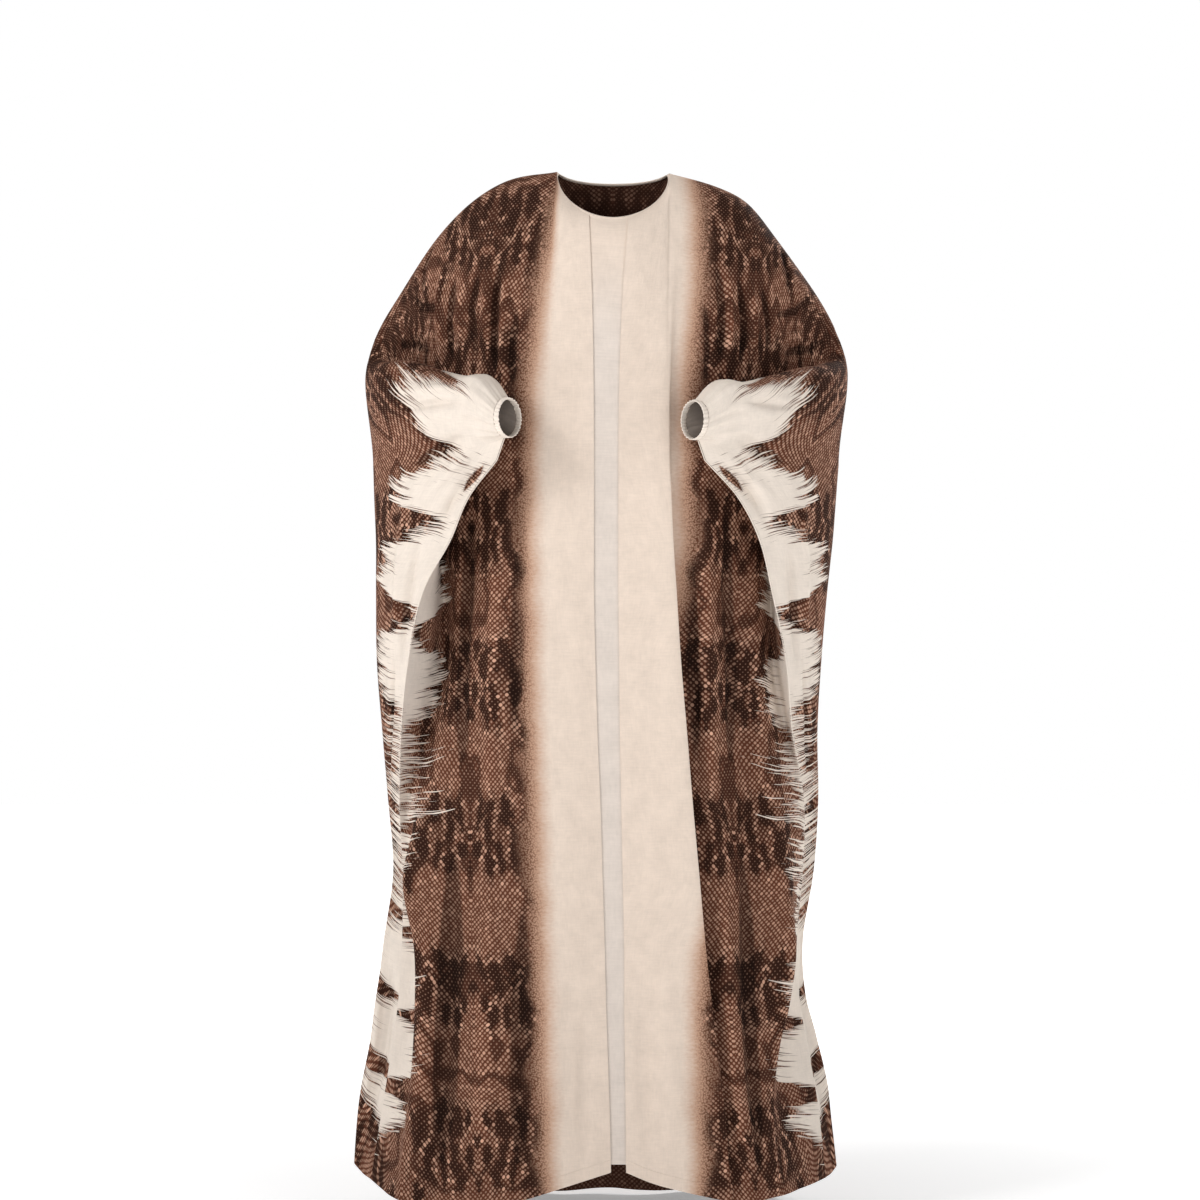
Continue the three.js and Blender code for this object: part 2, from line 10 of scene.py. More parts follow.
import bpy
import numpy as np
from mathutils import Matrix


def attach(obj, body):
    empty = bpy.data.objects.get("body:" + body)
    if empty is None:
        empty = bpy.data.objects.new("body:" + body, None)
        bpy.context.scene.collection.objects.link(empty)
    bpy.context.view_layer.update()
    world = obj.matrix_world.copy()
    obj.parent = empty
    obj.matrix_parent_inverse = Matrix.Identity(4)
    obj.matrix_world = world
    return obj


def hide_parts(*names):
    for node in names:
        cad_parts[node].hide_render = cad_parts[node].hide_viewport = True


bl_info = {
    "name": "Batwing Gown",
    "version": (1, 0, 0),
    "blender": (4, 5, 0),
    "location": "View3D > Sidebar > Gown",
    "description": "Makes a worn, hollow batwing gown of printed linen, piece by piece",
    "category": "Add Mesh",
}

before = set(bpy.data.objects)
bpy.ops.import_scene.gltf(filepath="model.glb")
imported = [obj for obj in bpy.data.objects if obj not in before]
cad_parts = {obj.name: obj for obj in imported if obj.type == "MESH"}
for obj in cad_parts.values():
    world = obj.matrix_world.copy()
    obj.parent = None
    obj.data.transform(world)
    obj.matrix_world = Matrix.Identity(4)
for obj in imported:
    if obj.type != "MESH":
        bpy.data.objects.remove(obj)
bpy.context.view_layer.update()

# ---- driving dimensions of the worn form, in millimetres ----
MM = 0.001
SEAM_GAP = 0.3
NECK_HALF_WIDTH = 80
NECK_FRONT_DROP = 76
NECK_BACK_DROP = 12
NECK_FRONT_DEPTH = 74
NECK_BACK_DEPTH = 62
NECKLINE_SLOPE = 0.9
NECKLINE_REACH = 0.65
WRIST_RADIUS = 27
WRIST_FACING = math.radians(-34.8)
YOKE_BOTTOM = -420
BACK_HALF_WIDTH = 330
BACK_DEPTH = 130
STRIP_HIDDEN = 15
STRIP_SHORTER = 11
BINDING_WIDTH = 4.2
BINDING_GIRTH = 12
CASING_WIDTH = 8.4
CASING_GIRTH = 20
CASING_RUFFLES = 31

# ---- grid that the fold tables are given on ----
NECK_CELLS = 4
ARM_CELLS = 17
YOKE_ROWS = 9
WRIST_ROWS = 8
SKIRT_ROWS = 15
ROWS = YOKE_ROWS + SKIRT_ROWS
COLUMNS = NECK_CELLS + ARM_CELLS
# Steps to a cell, across and down.
FRONT_STEPS = 7, 12
BACK_STEPS = 5, 9

# Grid column of each named line that runs down the cloth, counted from the middle of the gown.
FRONT_LINES = {
    "centre": 0, "breast": 2, "pleat": 4, "tuck": 6, "flank": 8,
    "dip": 10, "fold": 12, "valley": 15, "inner": 18, "seam": 21,
}
BACK_LINES = {"middle": 0, "blade": 4, "side": 10, "outer": 15, "wing": 18, "seam": 21}

# ---- level sections of each half: outward and y of the cloth at each named line, a row for each height ----
# Down to about -900 the side seam is the front ridge of a wing that the forearm carries, with a valley
# behind it. Lower down the fold turns over, and the front lies over the wing.
HEIGHTS = [-420, -470, -530, -600, -700, -800, -900, -1000, -1100, -1180, -1240, -1330, -1470]
RIGHT_FRONT = [
    # centre, breast, pleat, tuck, flank, dip, fold, valley, inner, seam
    [27, -119, 60, -119, 95, -116, 117, -112, 152, -98, 188, -74, 226, -32, 265, 6, 218, -90, 160, -170],
    [27, -120, 60, -121, 95, -119, 117, -115, 152, -101, 187, -76, 224, -36, 259, 4, 233, -78, 199, -158],
    [27, -121, 61, -122, 97, -120, 118, -117, 152, -103, 186, -78, 220, -42, 249, -1, 241, -70, 226, -141],
    [27, -122, 62, -124, 98, -122, 120, -119, 153, -105, 186, -81, 218, -48, 242, -8, 252, -62, 265, -115],
    [25, -124, 62, -126, 100, -124, 123, -121, 156, -108, 190, -85, 221, -54, 242, -16, 263, -48, 288, -86],
    [22, -126, 62, -129, 103, -127, 127, -124, 162, -110, 199, -88, 234, -62, 262, -24, 279, -36, 299, -62],
    [18, -128, 62, -132, 107, -130, 132, -127, 170, -112, 214, -90, 260, -68, 285, -36, 292, -28, 303, -36],
    [15, -130, 62, -135, 110, -133, 138, -130, 180, -116, 232, -96, 294, -73, 281, -42, 288, -27, 300, -14],
    [12, -132, 62, -137, 113, -136, 141, -133, 183, -120, 230, -102, 279, -82, 265, -46, 281, -25, 301, -12],
    [10, -133, 62, -138, 115, -138, 143, -135, 185, -122, 231, -105, 277, -87, 265, -49, 284, -26, 306, -12],
    [8, -134, 62, -139, 116, -140, 145, -137, 187, -124, 232, -108, 279, -90, 271, -54, 290, -28, 314, -12],
    [5, -136, 62, -141, 118, -142, 147, -140, 190, -128, 236, -112, 284, -94, 292, -64, 308, -36, 328, -14],
    [2, -138, 62, -143, 121, -145, 151, -144, 196, -134, 243, -120, 289, -100, 315, -76, 333, -46, 351, -18],
]
LEFT_FRONT = [
    # centre, breast, pleat, tuck, flank, dip, fold, valley, inner, seam
    [7, -120, 42, -120, 76, -122, 82, -113, 124, -106, 166, -82, 208, -38, 247, 4, 196, -90, 125, -172],
    [7, -121, 42, -122, 78, -125, 82, -112, 125, -107, 166, -79, 205, -42, 240, 0, 210, -80, 171, -157],
    [7, -122, 42, -124, 80, -127, 82, -111, 126, -108, 167, -78, 203, -48, 231, -6, 219, -70, 203, -134],
    [7, -123, 43, -126, 84, -130, 83, -112, 128, -110, 168, -76, 202, -56, 225, -16, 226, -60, 221, -109],
    [8, -125, 44, -128, 90, -133, 86, -113, 132, -112, 173, -75, 206, -68, 227, -28, 237, -48, 243, -80],
    [9, -127, 46, -131, 98, -137, 92, -114, 138, -114, 180, -76, 212, -80, 237, -42, 247, -34, 253, -56],
    [11, -129, 50, -134, 106, -140, 99, -116, 144, -117, 187, -78, 224, -88, 250, -60, 262, -43, 272, -24],
    [13, -131, 54, -137, 115, -143, 108, -119, 153, -120, 196, -83, 236, -90, 258, -58, 264, -38, 270, -18],
    [15, -133, 58, -139, 124, -145, 118, -122, 162, -122, 205, -88, 254, -84, 252, -50, 256, -30, 262, -12],
    [15, -134, 60, -141, 133, -147, 128, -126, 172, -124, 211, -92, 247, -84, 237, -48, 250, -28, 266, -10],
    [16, -135, 62, -143, 140, -148, 137, -130, 180, -126, 216, -96, 233, -88, 228, -52, 252, -30, 276, -11],
    [17, -137, 64, -145, 150, -149, 150, -135, 190, -130, 222, -103, 224, -95, 240, -66, 266, -40, 292, -14],
    [18, -139, 66, -147, 160, -150, 164, -143, 196, -134, 222, -118, 246, -104, 268, -78, 288, -48, 306, -18],
]
BACK_MIDDLE = [
    # middle, blade
    [0, 100, 95, 106],
    [0, 103, 97, 110],
    [0, 106, 98, 114],
    [0, 110, 100, 118],
    [0, 115, 102, 124],
    [0, 120, 104, 128],
    [0, 125, 106, 133],
    [0, 130, 108, 138],
    [0, 135, 110, 143],
    [0, 139, 113, 147],
    [0, 142, 115, 150],
    [0, 147, 118, 155],
    [0, 155, 122, 163],
]
RIGHT_BACK = [
    # side, outer, wing
    [246, 80, 342, -10, 268, -133],
    [247, 83, 340, -8, 287, -112],
    [247, 86, 337, -6, 299, -94],
    [247, 88, 336, -4, 312, -76],
    [247, 92, 334, 0, 320, -52],
    [246, 96, 326, 4, 319, -33],
    [246, 100, 318, 9, 314, -15],
    [247, 104, 312, 14, 308, 0],
    [252, 108, 326, 20, 318, 3],
    [258, 111, 336, 23, 325, 4],
    [264, 114, 345, 25, 332, 5],
    [272, 118, 362, 26, 348, 6],
    [282, 124, 371, 26, 364, 4],
]
LEFT_BACK = [
    # side, outer, wing
    [240, 80, 322, -10, 236, -140],
    [240, 83, 318, -8, 257, -114],
    [238, 86, 313, -6, 268, -94],
    [236, 88, 305, -4, 274, -74],
    [232, 92, 296, 0, 278, -50],
    [228, 96, 290, 4, 280, -30],
    [226, 100, 291, 10, 285, -8],
    [226, 104, 285, 14, 280, -2],
    [224, 108, 270, 20, 268, 2],
    [228, 111, 274, 23, 272, 3],
    [236, 114, 288, 25, 284, 4],
    [248, 118, 307, 26, 302, 6],
    [262, 124, 324, 26, 318, 4],
]

# ---- hem height at each named line ----
RIGHT_FRONT_HEM = [-1406, -1424, -1442, -1448, -1454, -1455, -1454, -1451, -1445, -1437]
LEFT_FRONT_HEM = [-1406, -1423, -1444, -1446, -1448, -1445, -1443, -1440, -1438, -1435]
RIGHT_BACK_HEM = [-1483, -1488, -1470, -1420, -1431, -1437]
LEFT_BACK_HEM = [-1483, -1488, -1470, -1424, -1431, -1435]

# ---- overarm line of each half: grid column past the neck side, outward, y, z ----
RIGHT_OVERARM = [
    [0, 80, 0, 0],
    [3, 150, 4, -12],
    [5, 205, 6, -45],
    [7, 256, 8, -99],
    [9, 296, 5, -166],
    [11, 336, -10, -262],
    [12, 318, -46, -275],
    [13, 285, -76, -275],
    [14, 240, -108, -291],
    [15, 203, -134, -301],
    [16, 172, -158, -302],
    [17, 149, -180, -335],
]
LEFT_OVERARM = [
    [0, 80, 0, -2],
    [3, 148, 4, -21],
    [5, 192, 6, -44],
    [7, 230, 8, -89],
    [9, 273, 5, -153],
    [10, 298, 0, -205],
    [11, 319, -10, -262],
    [12, 298, -48, -278],
    [13, 260, -78, -286],
    [14, 214, -108, -300],
    [15, 176, -136, -310],
    [16, 142, -160, -309],
    [17, 115, -180, -338],
]

# ---- how the cloth leaves the overarm line. The turn is the front's direction, in degrees from straight
# forward with inward positive; the back leaves the other way ----
LEAVING = [
  # column past the neck side, turn, front reach, back reach, front fall, back fall
  [0, 0, 62, 60, 240, 250],
  [5, 4, 76, 72, 210, 220],
  [9, 25, 74, 70, 130, 130],
  [11, 95, 52, 34, 70, 60],
  [13, 140, 40, 74, 50, 60],
  [16, 145, 36, 78, 40, 50],
  [17, 145, 36, 78, 30, 40],
]

# ---- long soft folds of the back, each a ridge that grows from its start down to the hem ----
BACK_FOLDS = [
  # grid column from the middle (right half negative), half width in columns, depth at the hem, start height
  [-13, 2.2, 15, -420],
  [-9, 2.6, 24, -260],
  [-4.5, 2.2, 17, -330],
  [-0.5, 1.9, 13, -520],
  [4, 2.4, 22, -230],
  [8.5, 2.1, 16, -400],
  [12.5, 2.4, 19, -300],
]

# ---- what the worn cloth does between the table lines ----
# The long pleat of the left front doubles back under itself: height, then how far.
PLEAT_UNDERCUT = [[-300, 0], [-420, 6], [-600, 15], [-900, 18], [-1250, 13], [-1400, 5], [-1500, 2]]
# Where the plain middle of the left front ends: grid row, distance from the front edge. From about row 13 to
# 19 that is under the pleat's edge.
LEFT_PLAIN_EDGE = [
    [0, 158], [3, 137], [6, 107], [7, 97], [9, 108], [10, 119], [11, 130], [12, 128], [13, 114], [15, 121],
    [17.5, 133], [19, 109], [20, 104], [24, 103],
]
# Gathers at a wrist: grid row of the half ring, half width in rows, depth, reach from the casing.
GATHERS_FRONT = [
    [0.55, 0.26, 2.2, 46], [1.10, 0.30, 3.4, 74], [1.75, 0.24, 2.4, 38], [2.25, 0.30, 3.8, 88],
    [2.95, 0.26, 2.6, 52], [3.45, 0.24, 3.2, 64], [4.05, 0.34, 4.2, 96], [4.75, 0.24, 2.4, 40],
    [5.20, 0.28, 3.4, 70], [5.85, 0.26, 2.8, 54], [6.45, 0.32, 3.8, 84], [7.15, 0.26, 2.6, 48],
]
GATHERS_BACK = [
    [0.60, 0.28, 2.6, 52], [1.25, 0.26, 2.8, 60], [1.80, 0.30, 3.6, 86], [2.50, 0.24, 2.2, 42],
    [3.05, 0.30, 3.8, 78], [3.75, 0.28, 3.0, 56], [4.35, 0.26, 3.2, 68], [4.95, 0.32, 4.0, 92],
    [5.65, 0.24, 2.4, 44], [6.15, 0.28, 3.2, 66], [6.85, 0.30, 3.4, 72],
]
# Creases and soft folds: half width, depth (a hollow is negative), then column and row of each point.
FRONT_RIGHT_CREASES = [
    # chest and upper sleeve
    [8, -5.8, 9, 2.8, 9.9, 4, 9.9, 5.8],
    [8, 5.4, 8.4, 2.8, 9.1, 4.4, 9.2, 6.2],
    [7, -7.9, 7.7, 2.8, 8.4, 4.5, 8.6, 6.6],
    [7, 6.1, 7.3, 3.2, 7.9, 5.2, 8, 6.9],
    [7, -5.4, 6.7, 4.4, 7.3, 5.8, 7.3, 7.2],
    [8, 5.4, 10, 2.4, 10.7, 3.8, 10.9, 5.7],
    [8, -6.8, 10.4, 2.3, 11.4, 3.6, 11.6, 5.3],
    [9, 5.4, 11, 1.6, 12.1, 2.7, 12.4, 4.7],
    # elbow
    [6, -6.1, 14.3, 0.2, 14.4, 1.4, 13, 3.9],
    [6, 5, 13.9, 0.1, 14, 1.4, 12.4, 3.8],
    [7, -5.4, 13.3, 0.1, 13.1, 1.6, 11.4, 3.2],
    [8, -4.3, 10.9, 0.2, 12.1, 0.8, 12.9, 1.6],
    # skirt
    [16, -6.5, 10.6, 9.4, 11.1, 11, 11.3, 13.4, 9.9, 15.8],
    [15, 5.8, 9, 9.2, 8.7, 11, 8.7, 13.8, 7.7, 17.8],
    [12, -4.9, 6.6, 9.3, 6.7, 11.8, 6.6, 15],
    [18, -9.4, 10.1, 16.2, 9.9, 18.8, 10.1, 21.5, 10.1, 24.8],
    [17, 8, 7.7, 17.1, 7.7, 19.8, 7.6, 24.9],
    [15, -7.2, 5, 17.5, 4.7, 20.9, 4.6, 24.9],
    [20, 3.8, 2.7, 18.8, 2.7, 21.8, 2.7, 24.9],
    [14, -3.2, 1.1, 20.2, 1.3, 22.3, 1.3, 24.9],
    [13, 5.2, 10.7, 17.9, 11.3, 19.9, 11.3, 21.9, 11.6, 24.6],
]
FRONT_LEFT_CREASES = [
    [8, -6.1, 7.9, 2.9, 8.7, 4.4, 8.9, 6.2],
    [7, 5.8, 8.6, 2.9, 9.4, 4.5, 9.5, 6.4],
    [7, -8.3, 9.3, 2.9, 10.3, 4.3, 10.4, 6],
    [8, 5.8, 10.1, 2.7, 11, 3.9, 11.3, 5.5],
    [8, -6.1, 11, 2.5, 12, 3.7, 12.3, 4.9],
    [6, -5, 7.4, 4, 8, 5.6, 8, 7],
    [6, -6.1, 14.6, 0.1, 14.6, 1.5, 13.3, 4],
    [6, 5, 14.1, 0.1, 14.3, 1.4, 12.9, 3.8],
    [7, -5, 13.6, 0.1, 13.6, 1.4, 12, 3.3],
    [8, -4.3, 11.4, 0.2, 12.4, 0.9, 13.1, 1.8],
    [13, -6.1, 9.6, 9.3, 9.7, 11, 9.6, 13.4, 9.1, 15.9],
    [13, 5.5, 8.3, 9.2, 8.1, 11.4, 8, 14.2, 7.7, 17.1],
    [12, -4.9, 7.3, 10.2, 7.3, 12.6, 7.1, 15.5],
    [15, -8.7, 9.6, 16.3, 9.3, 18.6, 8.6, 21.2, 8.6, 24.8],
    [14, 7.2, 8, 17.1, 7.7, 19.5, 7.3, 21.9, 7.3, 24.8],
    [18, 3.5, 2.4, 18.1, 2.4, 20.9, 2.4, 24.9],
    [14, -3.2, 1.1, 19.8, 1.1, 22.1, 1.3, 24.9],
    [16, -2.3, 3.1, 20.4, 3.1, 22.2, 3.1, 24.7],
]
BACK_CREASES = [
    # the right wing and sleeve as they come round to the front
    [9, -7.5, -20, 6.6, -18.8, 8.2, -17.6, 9.1],
    [8, 5.8, -20.2, 7.9, -19.4, 9.2, -19, 9.8],
    [9, -6.8, -20.4, 8.9, -20.2, 9.9, -20, 10.6],
    [7, -5.8, -19.8, 4, -18.6, 4.4, -17.4, 5.2],
    [8, 5.4, -19.8, 3, -18.6, 3.1, -17.6, 3.8],
    [8, 5.1, -17.6, 9.3, -18.2, 11, -19, 12.7],
    [9, -6.5, -19, 10.2, -19.8, 11.9, -20.2, 13.4],
    [6, -4.4, -19.2, 12.7, -19, 14.3, -17.2, 15.9],
    [7, 5.4, -15.8, 19.7, -17.2, 21.4, -18, 23.1],
    [8, -6.1, -18.4, 19.2, -19, 21.1, -19.6, 23.2],
    # the left ones
    [9, -7.1, 20, 6.4, 19, 8.1, 17.8, 9.1],
    [8, 5.8, 20.2, 8, 19.8, 9.3, 19.2, 9.8],
    [9, -6.8, 20.3, 9, 20.2, 9.8, 20, 10.4],
    [7, -5.4, 19.8, 3.7, 18.8, 4.1, 17.8, 4.8],
    [8, 5.1, 19.8, 2.7, 18.8, 2.8, 17.8, 3.3],
    [8, 5.1, 17.6, 9.3, 18, 11, 18.2, 12.7],
    [9, -6.1, 19, 10.2, 19.4, 11.9, 19.6, 13.6],
    [6, -4.4, 18.8, 12.7, 18.6, 14.3, 19.2, 15.9],
    [7, 5.4, 16.6, 19.6, 16.2, 21.6, 18.2, 23.1],
    [8, -6.1, 16.8, 19.3, 17.6, 21.2, 19.6, 23.2],
    # shoulders and upper sleeves from behind
    [10, -5.8, -7.5, 1.4, -8.4, 4.2, -8.8, 7.4],
    [9, 5.8, -9.6, 1.8, -10.6, 4.4, -10.9, 7],
    [10, -6.4, -11.4, 1.6, -12.4, 3.8, -12.6, 6.6],
    [8, -5.8, -14.4, 0.6, -14.2, 2.4, -13.2, 4.6],
    [8, 5.1, -13.7, 0.9, -13.4, 2.9, -12, 4.8],
    [10, -6.1, 6.9, 1.2, 7.9, 3.9, 8.2, 7.6],
    [9, 5.4, 9, 1.7, 10.1, 4.2, 10.4, 6.6],
    [11, -5.8, 10.9, 1.9, 12, 4, 12.3, 7],
    [8, -6.1, 14.2, 0.5, 14.1, 2.2, 13, 4.2],
    [8, 5.4, 13.5, 0.8, 13.2, 2.6, 11.8, 4.9],
    # long soft folds between the large ones
    [16, -7.2, -10.8, 9.5, -11.2, 13, -11.4, 18],
    [18, 5.8, -6.4, 11, -6.7, 16, -6.9, 24.8],
    [15, -6.7, -2.4, 12.5, -2.6, 17, -2.5, 24.6],
    [17, -7, 1.9, 10.5, 2.1, 15.5, 2.2, 24.8],
    [15, 5.5, 6, 13, 6.3, 18, 6.6, 24.8],
    [18, -7.5, 10.4, 10, 10.6, 15, 10.5, 24.6],
]


def weights(stations, at):
    """One row for each value of at: the shares of the stations on a smooth curve through them, where each
    station's slope comes from its neighbours."""
    stations = np.asarray(stations, float)
    at = np.atleast_1d(np.asarray(at, float))
    last = len(stations) - 1
    sign = np.sign(stations[-1] - stations[0])
    here = np.minimum(np.searchsorted(stations[1:] * sign, at * sign), last - 1)
    before, after = np.maximum(here - 1, 0), np.minimum(here + 2, last)
    start, end = stations[here], stations[here + 1]
    share = np.clip((at - start) / (end - start), 0, 1)
    eased = share * share * (3 - 2 * share)
    rise = share * (1 - share) ** 2 * (end - start) / (end - stations[before])
    fall = share**2 * (1 - share) * (end - start) / (stations[after] - start)
    rows = np.arange(len(at))
    result = np.zeros((len(at), last + 1))
    for place, amount in ((here, 1 - eased + fall), (here + 1, eased + rise), (before, -rise), (after, -fall)):
        np.add.at(result, (rows, place), amount)
    return result


def through(rows, at):
    """The smooth curve through rows of [parameter, ...numbers], at each of the values."""
    rows = np.asarray(rows, float)
    return weights(rows[:, 0], at) @ rows[:, 1:]


def ease(values, low, high):
    """0 below low, 1 above high, and a smooth step between them."""
    share = np.clip((np.asarray(values, float) - low) / (high - low), 0, 1)
    return share * share * (3 - 2 * share)


class Half:
    """One half of the gown. The back's sections end on the front's seam line."""

    def __init__(self, side, edge_at_neck, front, back, overarm, front_hem, back_hem):
        self.side, self.edge_at_neck, self.overarm = side, edge_at_neck, overarm
        self.front, self.front_hem, self.back_hem = front, front_hem, back_hem
        self.back = [[*middle, *row, *edge[-2:]] for middle, row, edge in zip(BACK_MIDDLE, back, front)]


RIGHT = Half(-1, 34, RIGHT_FRONT, RIGHT_BACK, RIGHT_OVERARM, RIGHT_FRONT_HEM, RIGHT_BACK_HEM)
LEFT = Half(1, 21, LEFT_FRONT, LEFT_BACK, LEFT_OVERARM, LEFT_FRONT_HEM, LEFT_BACK_HEM)


def sections(table, lines, columns, heights):
    """[outward, y] of the cloth at each grid column, for that column's row of heights."""
    points = np.reshape(table, (len(HEIGHTS), -1, 2)).astype(float)
    by_column = np.einsum("cn,hnk->chk", weights(list(lines.values()), columns), points)
    by_height = weights(HEIGHTS, heights.ravel()).reshape(*heights.shape, len(HEIGHTS))
    return np.einsum("crh,chk->crk", by_height, by_column)


def fold_depth(signed_columns, heights):
    """How far the back stands out at grid columns and heights, because of its folds."""
    depth = np.zeros_like(heights)
    for column, half_width, hem_depth, start in BACK_FOLDS:
        across = np.clip((signed_columns - column) / half_width, -1, 1)[:, None]
        grown = np.clip((heights - start) / (RIGHT_BACK_HEM[0] - start), 0, 1)
        depth += hem_depth * grown * (0.5 + 0.5 * np.cos(math.pi * across))
    return depth


def section(gown, is_front, columns, heights):
    """Level sections of one half of a front or of the back."""
    if is_front:
        return sections(gown.front, FRONT_LINES, columns, heights)
    points = sections(gown.back, BACK_LINES, columns, heights)
    depth = fold_depth(columns * gown.side, heights)
    oval = np.array([BACK_HALF_WIDTH, BACK_DEPTH])
    reach = np.hypot(points[..., 0] / BACK_HALF_WIDTH, points[..., 1] / BACK_DEPTH)
    return points + points / oval * (depth / reach)[..., None]


def upper_edge(gown, columns, is_front):
    """The neckline up to the neck side, then the shoulder and overarm line, at each grid column."""
    overarm = through(gown.overarm, columns - NECK_CELLS)
    start = math.asin(gown.edge_at_neck / NECK_HALF_WIDTH) if is_front else 0
    turn = start + (math.pi / 2 - start) * columns / NECK_CELLS
    drop = NECK_FRONT_DROP if is_front else NECK_BACK_DROP
    depth = -NECK_FRONT_DEPTH if is_front else NECK_BACK_DEPTH
    neck_side = gown.overarm[0][3]
    across, level = NECK_HALF_WIDTH * np.sin(turn), neck_side - (drop + neck_side) * np.cos(turn)
    neckline = np.stack([across, depth * np.cos(turn), level], axis=1)
    return np.where((columns < NECK_CELLS)[:, None], neckline, overarm)


def yoke(gown, columns, is_front, shares):
    """The cloth from its upper edge down to the yoke's bottom: curves that leave the edge level."""
    turn, front_reach, back_reach, front_fall, back_fall = through(LEAVING, columns - NECK_CELLS).T
    angle = np.radians(turn)
    away = 1 if is_front else -1
    to_middle = 1 - np.minimum(columns / NECK_CELLS, 1)
    leave = np.stack([-np.sin(angle) * away, -np.cos(angle) * away, -NECKLINE_SLOPE * to_middle], axis=1)
    leave /= np.linalg.norm(leave, axis=1, keepdims=True)
    reach = (front_reach if is_front else back_reach) * (1 + (NECKLINE_REACH - 1) * to_middle)
    fall = front_fall if is_front else back_fall
    start = upper_edge(gown, columns, is_front)
    level = section(gown, is_front, columns, np.full((len(columns), 1), float(YOKE_BOTTOM)))[:, 0]
    end = np.column_stack([level, np.full(len(columns), float(YOKE_BOTTOM))])
    up = np.stack([0 * fall, 0 * fall, fall], axis=1)
    corners = [start, start + leave * reach[:, None], end + up, end]

    def curve(t):
        shares = (1 - t) ** 3, 3 * t * (1 - t) ** 2, 3 * t * t * (1 - t), t**3
        return sum(share[..., None] * corner for share, corner in zip(shares, corners))

    steps = np.linspace(0, 1, 201)
    length = np.linalg.norm(np.diff(curve(np.tile(steps[:, None], len(columns))), axis=0), axis=2)
    walked = np.vstack([np.zeros(len(columns)), np.cumsum(length, axis=0)])
    along = [np.interp(shares * walked[-1, n], walked[:, n], steps) for n in range(len(columns))]
    return curve(np.stack(along, axis=1))


def wrist_points(gown, rows, is_front):
    """The half ring of the wrist from its top to its bottom, then the seam down to the yoke's bottom."""
    top = through(gown.overarm, ARM_CELLS)[0]
    turn = np.minimum(rows / WRIST_ROWS, 1)[:, None] * math.pi
    away = 1 if is_front else -1
    across = np.array([math.sin(WRIST_FACING), math.cos(WRIST_FACING), 0]) * away
    ring = top + across * WRIST_RADIUS * np.sin(turn) + [0, 0, 1] * (WRIST_RADIUS * (np.cos(turn) - 1))
    foot = section(gown, is_front, np.array([float(COLUMNS)]), np.array([[float(YOKE_BOTTOM)]]))[0, 0]
    below = np.clip(rows - WRIST_ROWS, 0, 1)[:, None]
    return ring + (np.array([*foot, YOKE_BOTTOM]) - ring) * below


def grid_places(is_front):
    """Every column and row of a half, on the scale of the tables' grid."""
    steps = FRONT_STEPS if is_front else BACK_STEPS
    return [np.arange(cells * step + 1) / step for cells, step in zip((COLUMNS, ROWS), steps)]


def half_points(gown, is_front):
    """One half of a front or of the back as rows of points from the middle outward, in millimetres."""
    columns, rows = grid_places(is_front)
    upper_rows, lower_rows = rows[rows <= YOKE_ROWS], rows[rows > YOKE_ROWS]
    upper = yoke(gown, columns, is_front, upper_rows / YOKE_ROWS)
    ring = wrist_points(gown, upper_rows, is_front)
    before, last = np.searchsorted(columns, (COLUMNS - 2, COLUMNS - 1))
    ends = np.stack([upper[:, before], upper[:, last], ring], axis=1)
    share = weights([COLUMNS - 2, COLUMNS - 1, COLUMNS], columns[last:])
    upper[:, last:] = np.einsum("cn,rnk->rck", share, ends)
    lines = FRONT_LINES if is_front else BACK_LINES
    hem = weights(list(lines.values()), columns) @ (gown.front_hem if is_front else gown.back_hem)
    heights = YOKE_BOTTOM + np.outer(hem - YOKE_BOTTOM, (lower_rows - YOKE_ROWS) / SKIRT_ROWS)
    lower = np.concatenate([section(gown, is_front, columns, heights), heights[..., None]], axis=2)
    points = np.concatenate([upper, lower.transpose(1, 0, 2)])
    points[..., 0] *= gown.side
    return points


def undercut(points, columns):
    """The long pleat of the left front: the cloth goes back under its edge before it goes on outward."""
    across = ease(columns, 4.1, 5.1) * (1 - ease(columns, 5.3, 6.6))
    under = through(PLEAT_UNDERCUT, points[..., 2].ravel()).reshape(points.shape[:2])
    points[..., 0] -= under * across
    lip = np.exp(-(((columns - 4.25) / 0.5) ** 2))
    points[..., 0] += 0.2 * under * lip
    return points


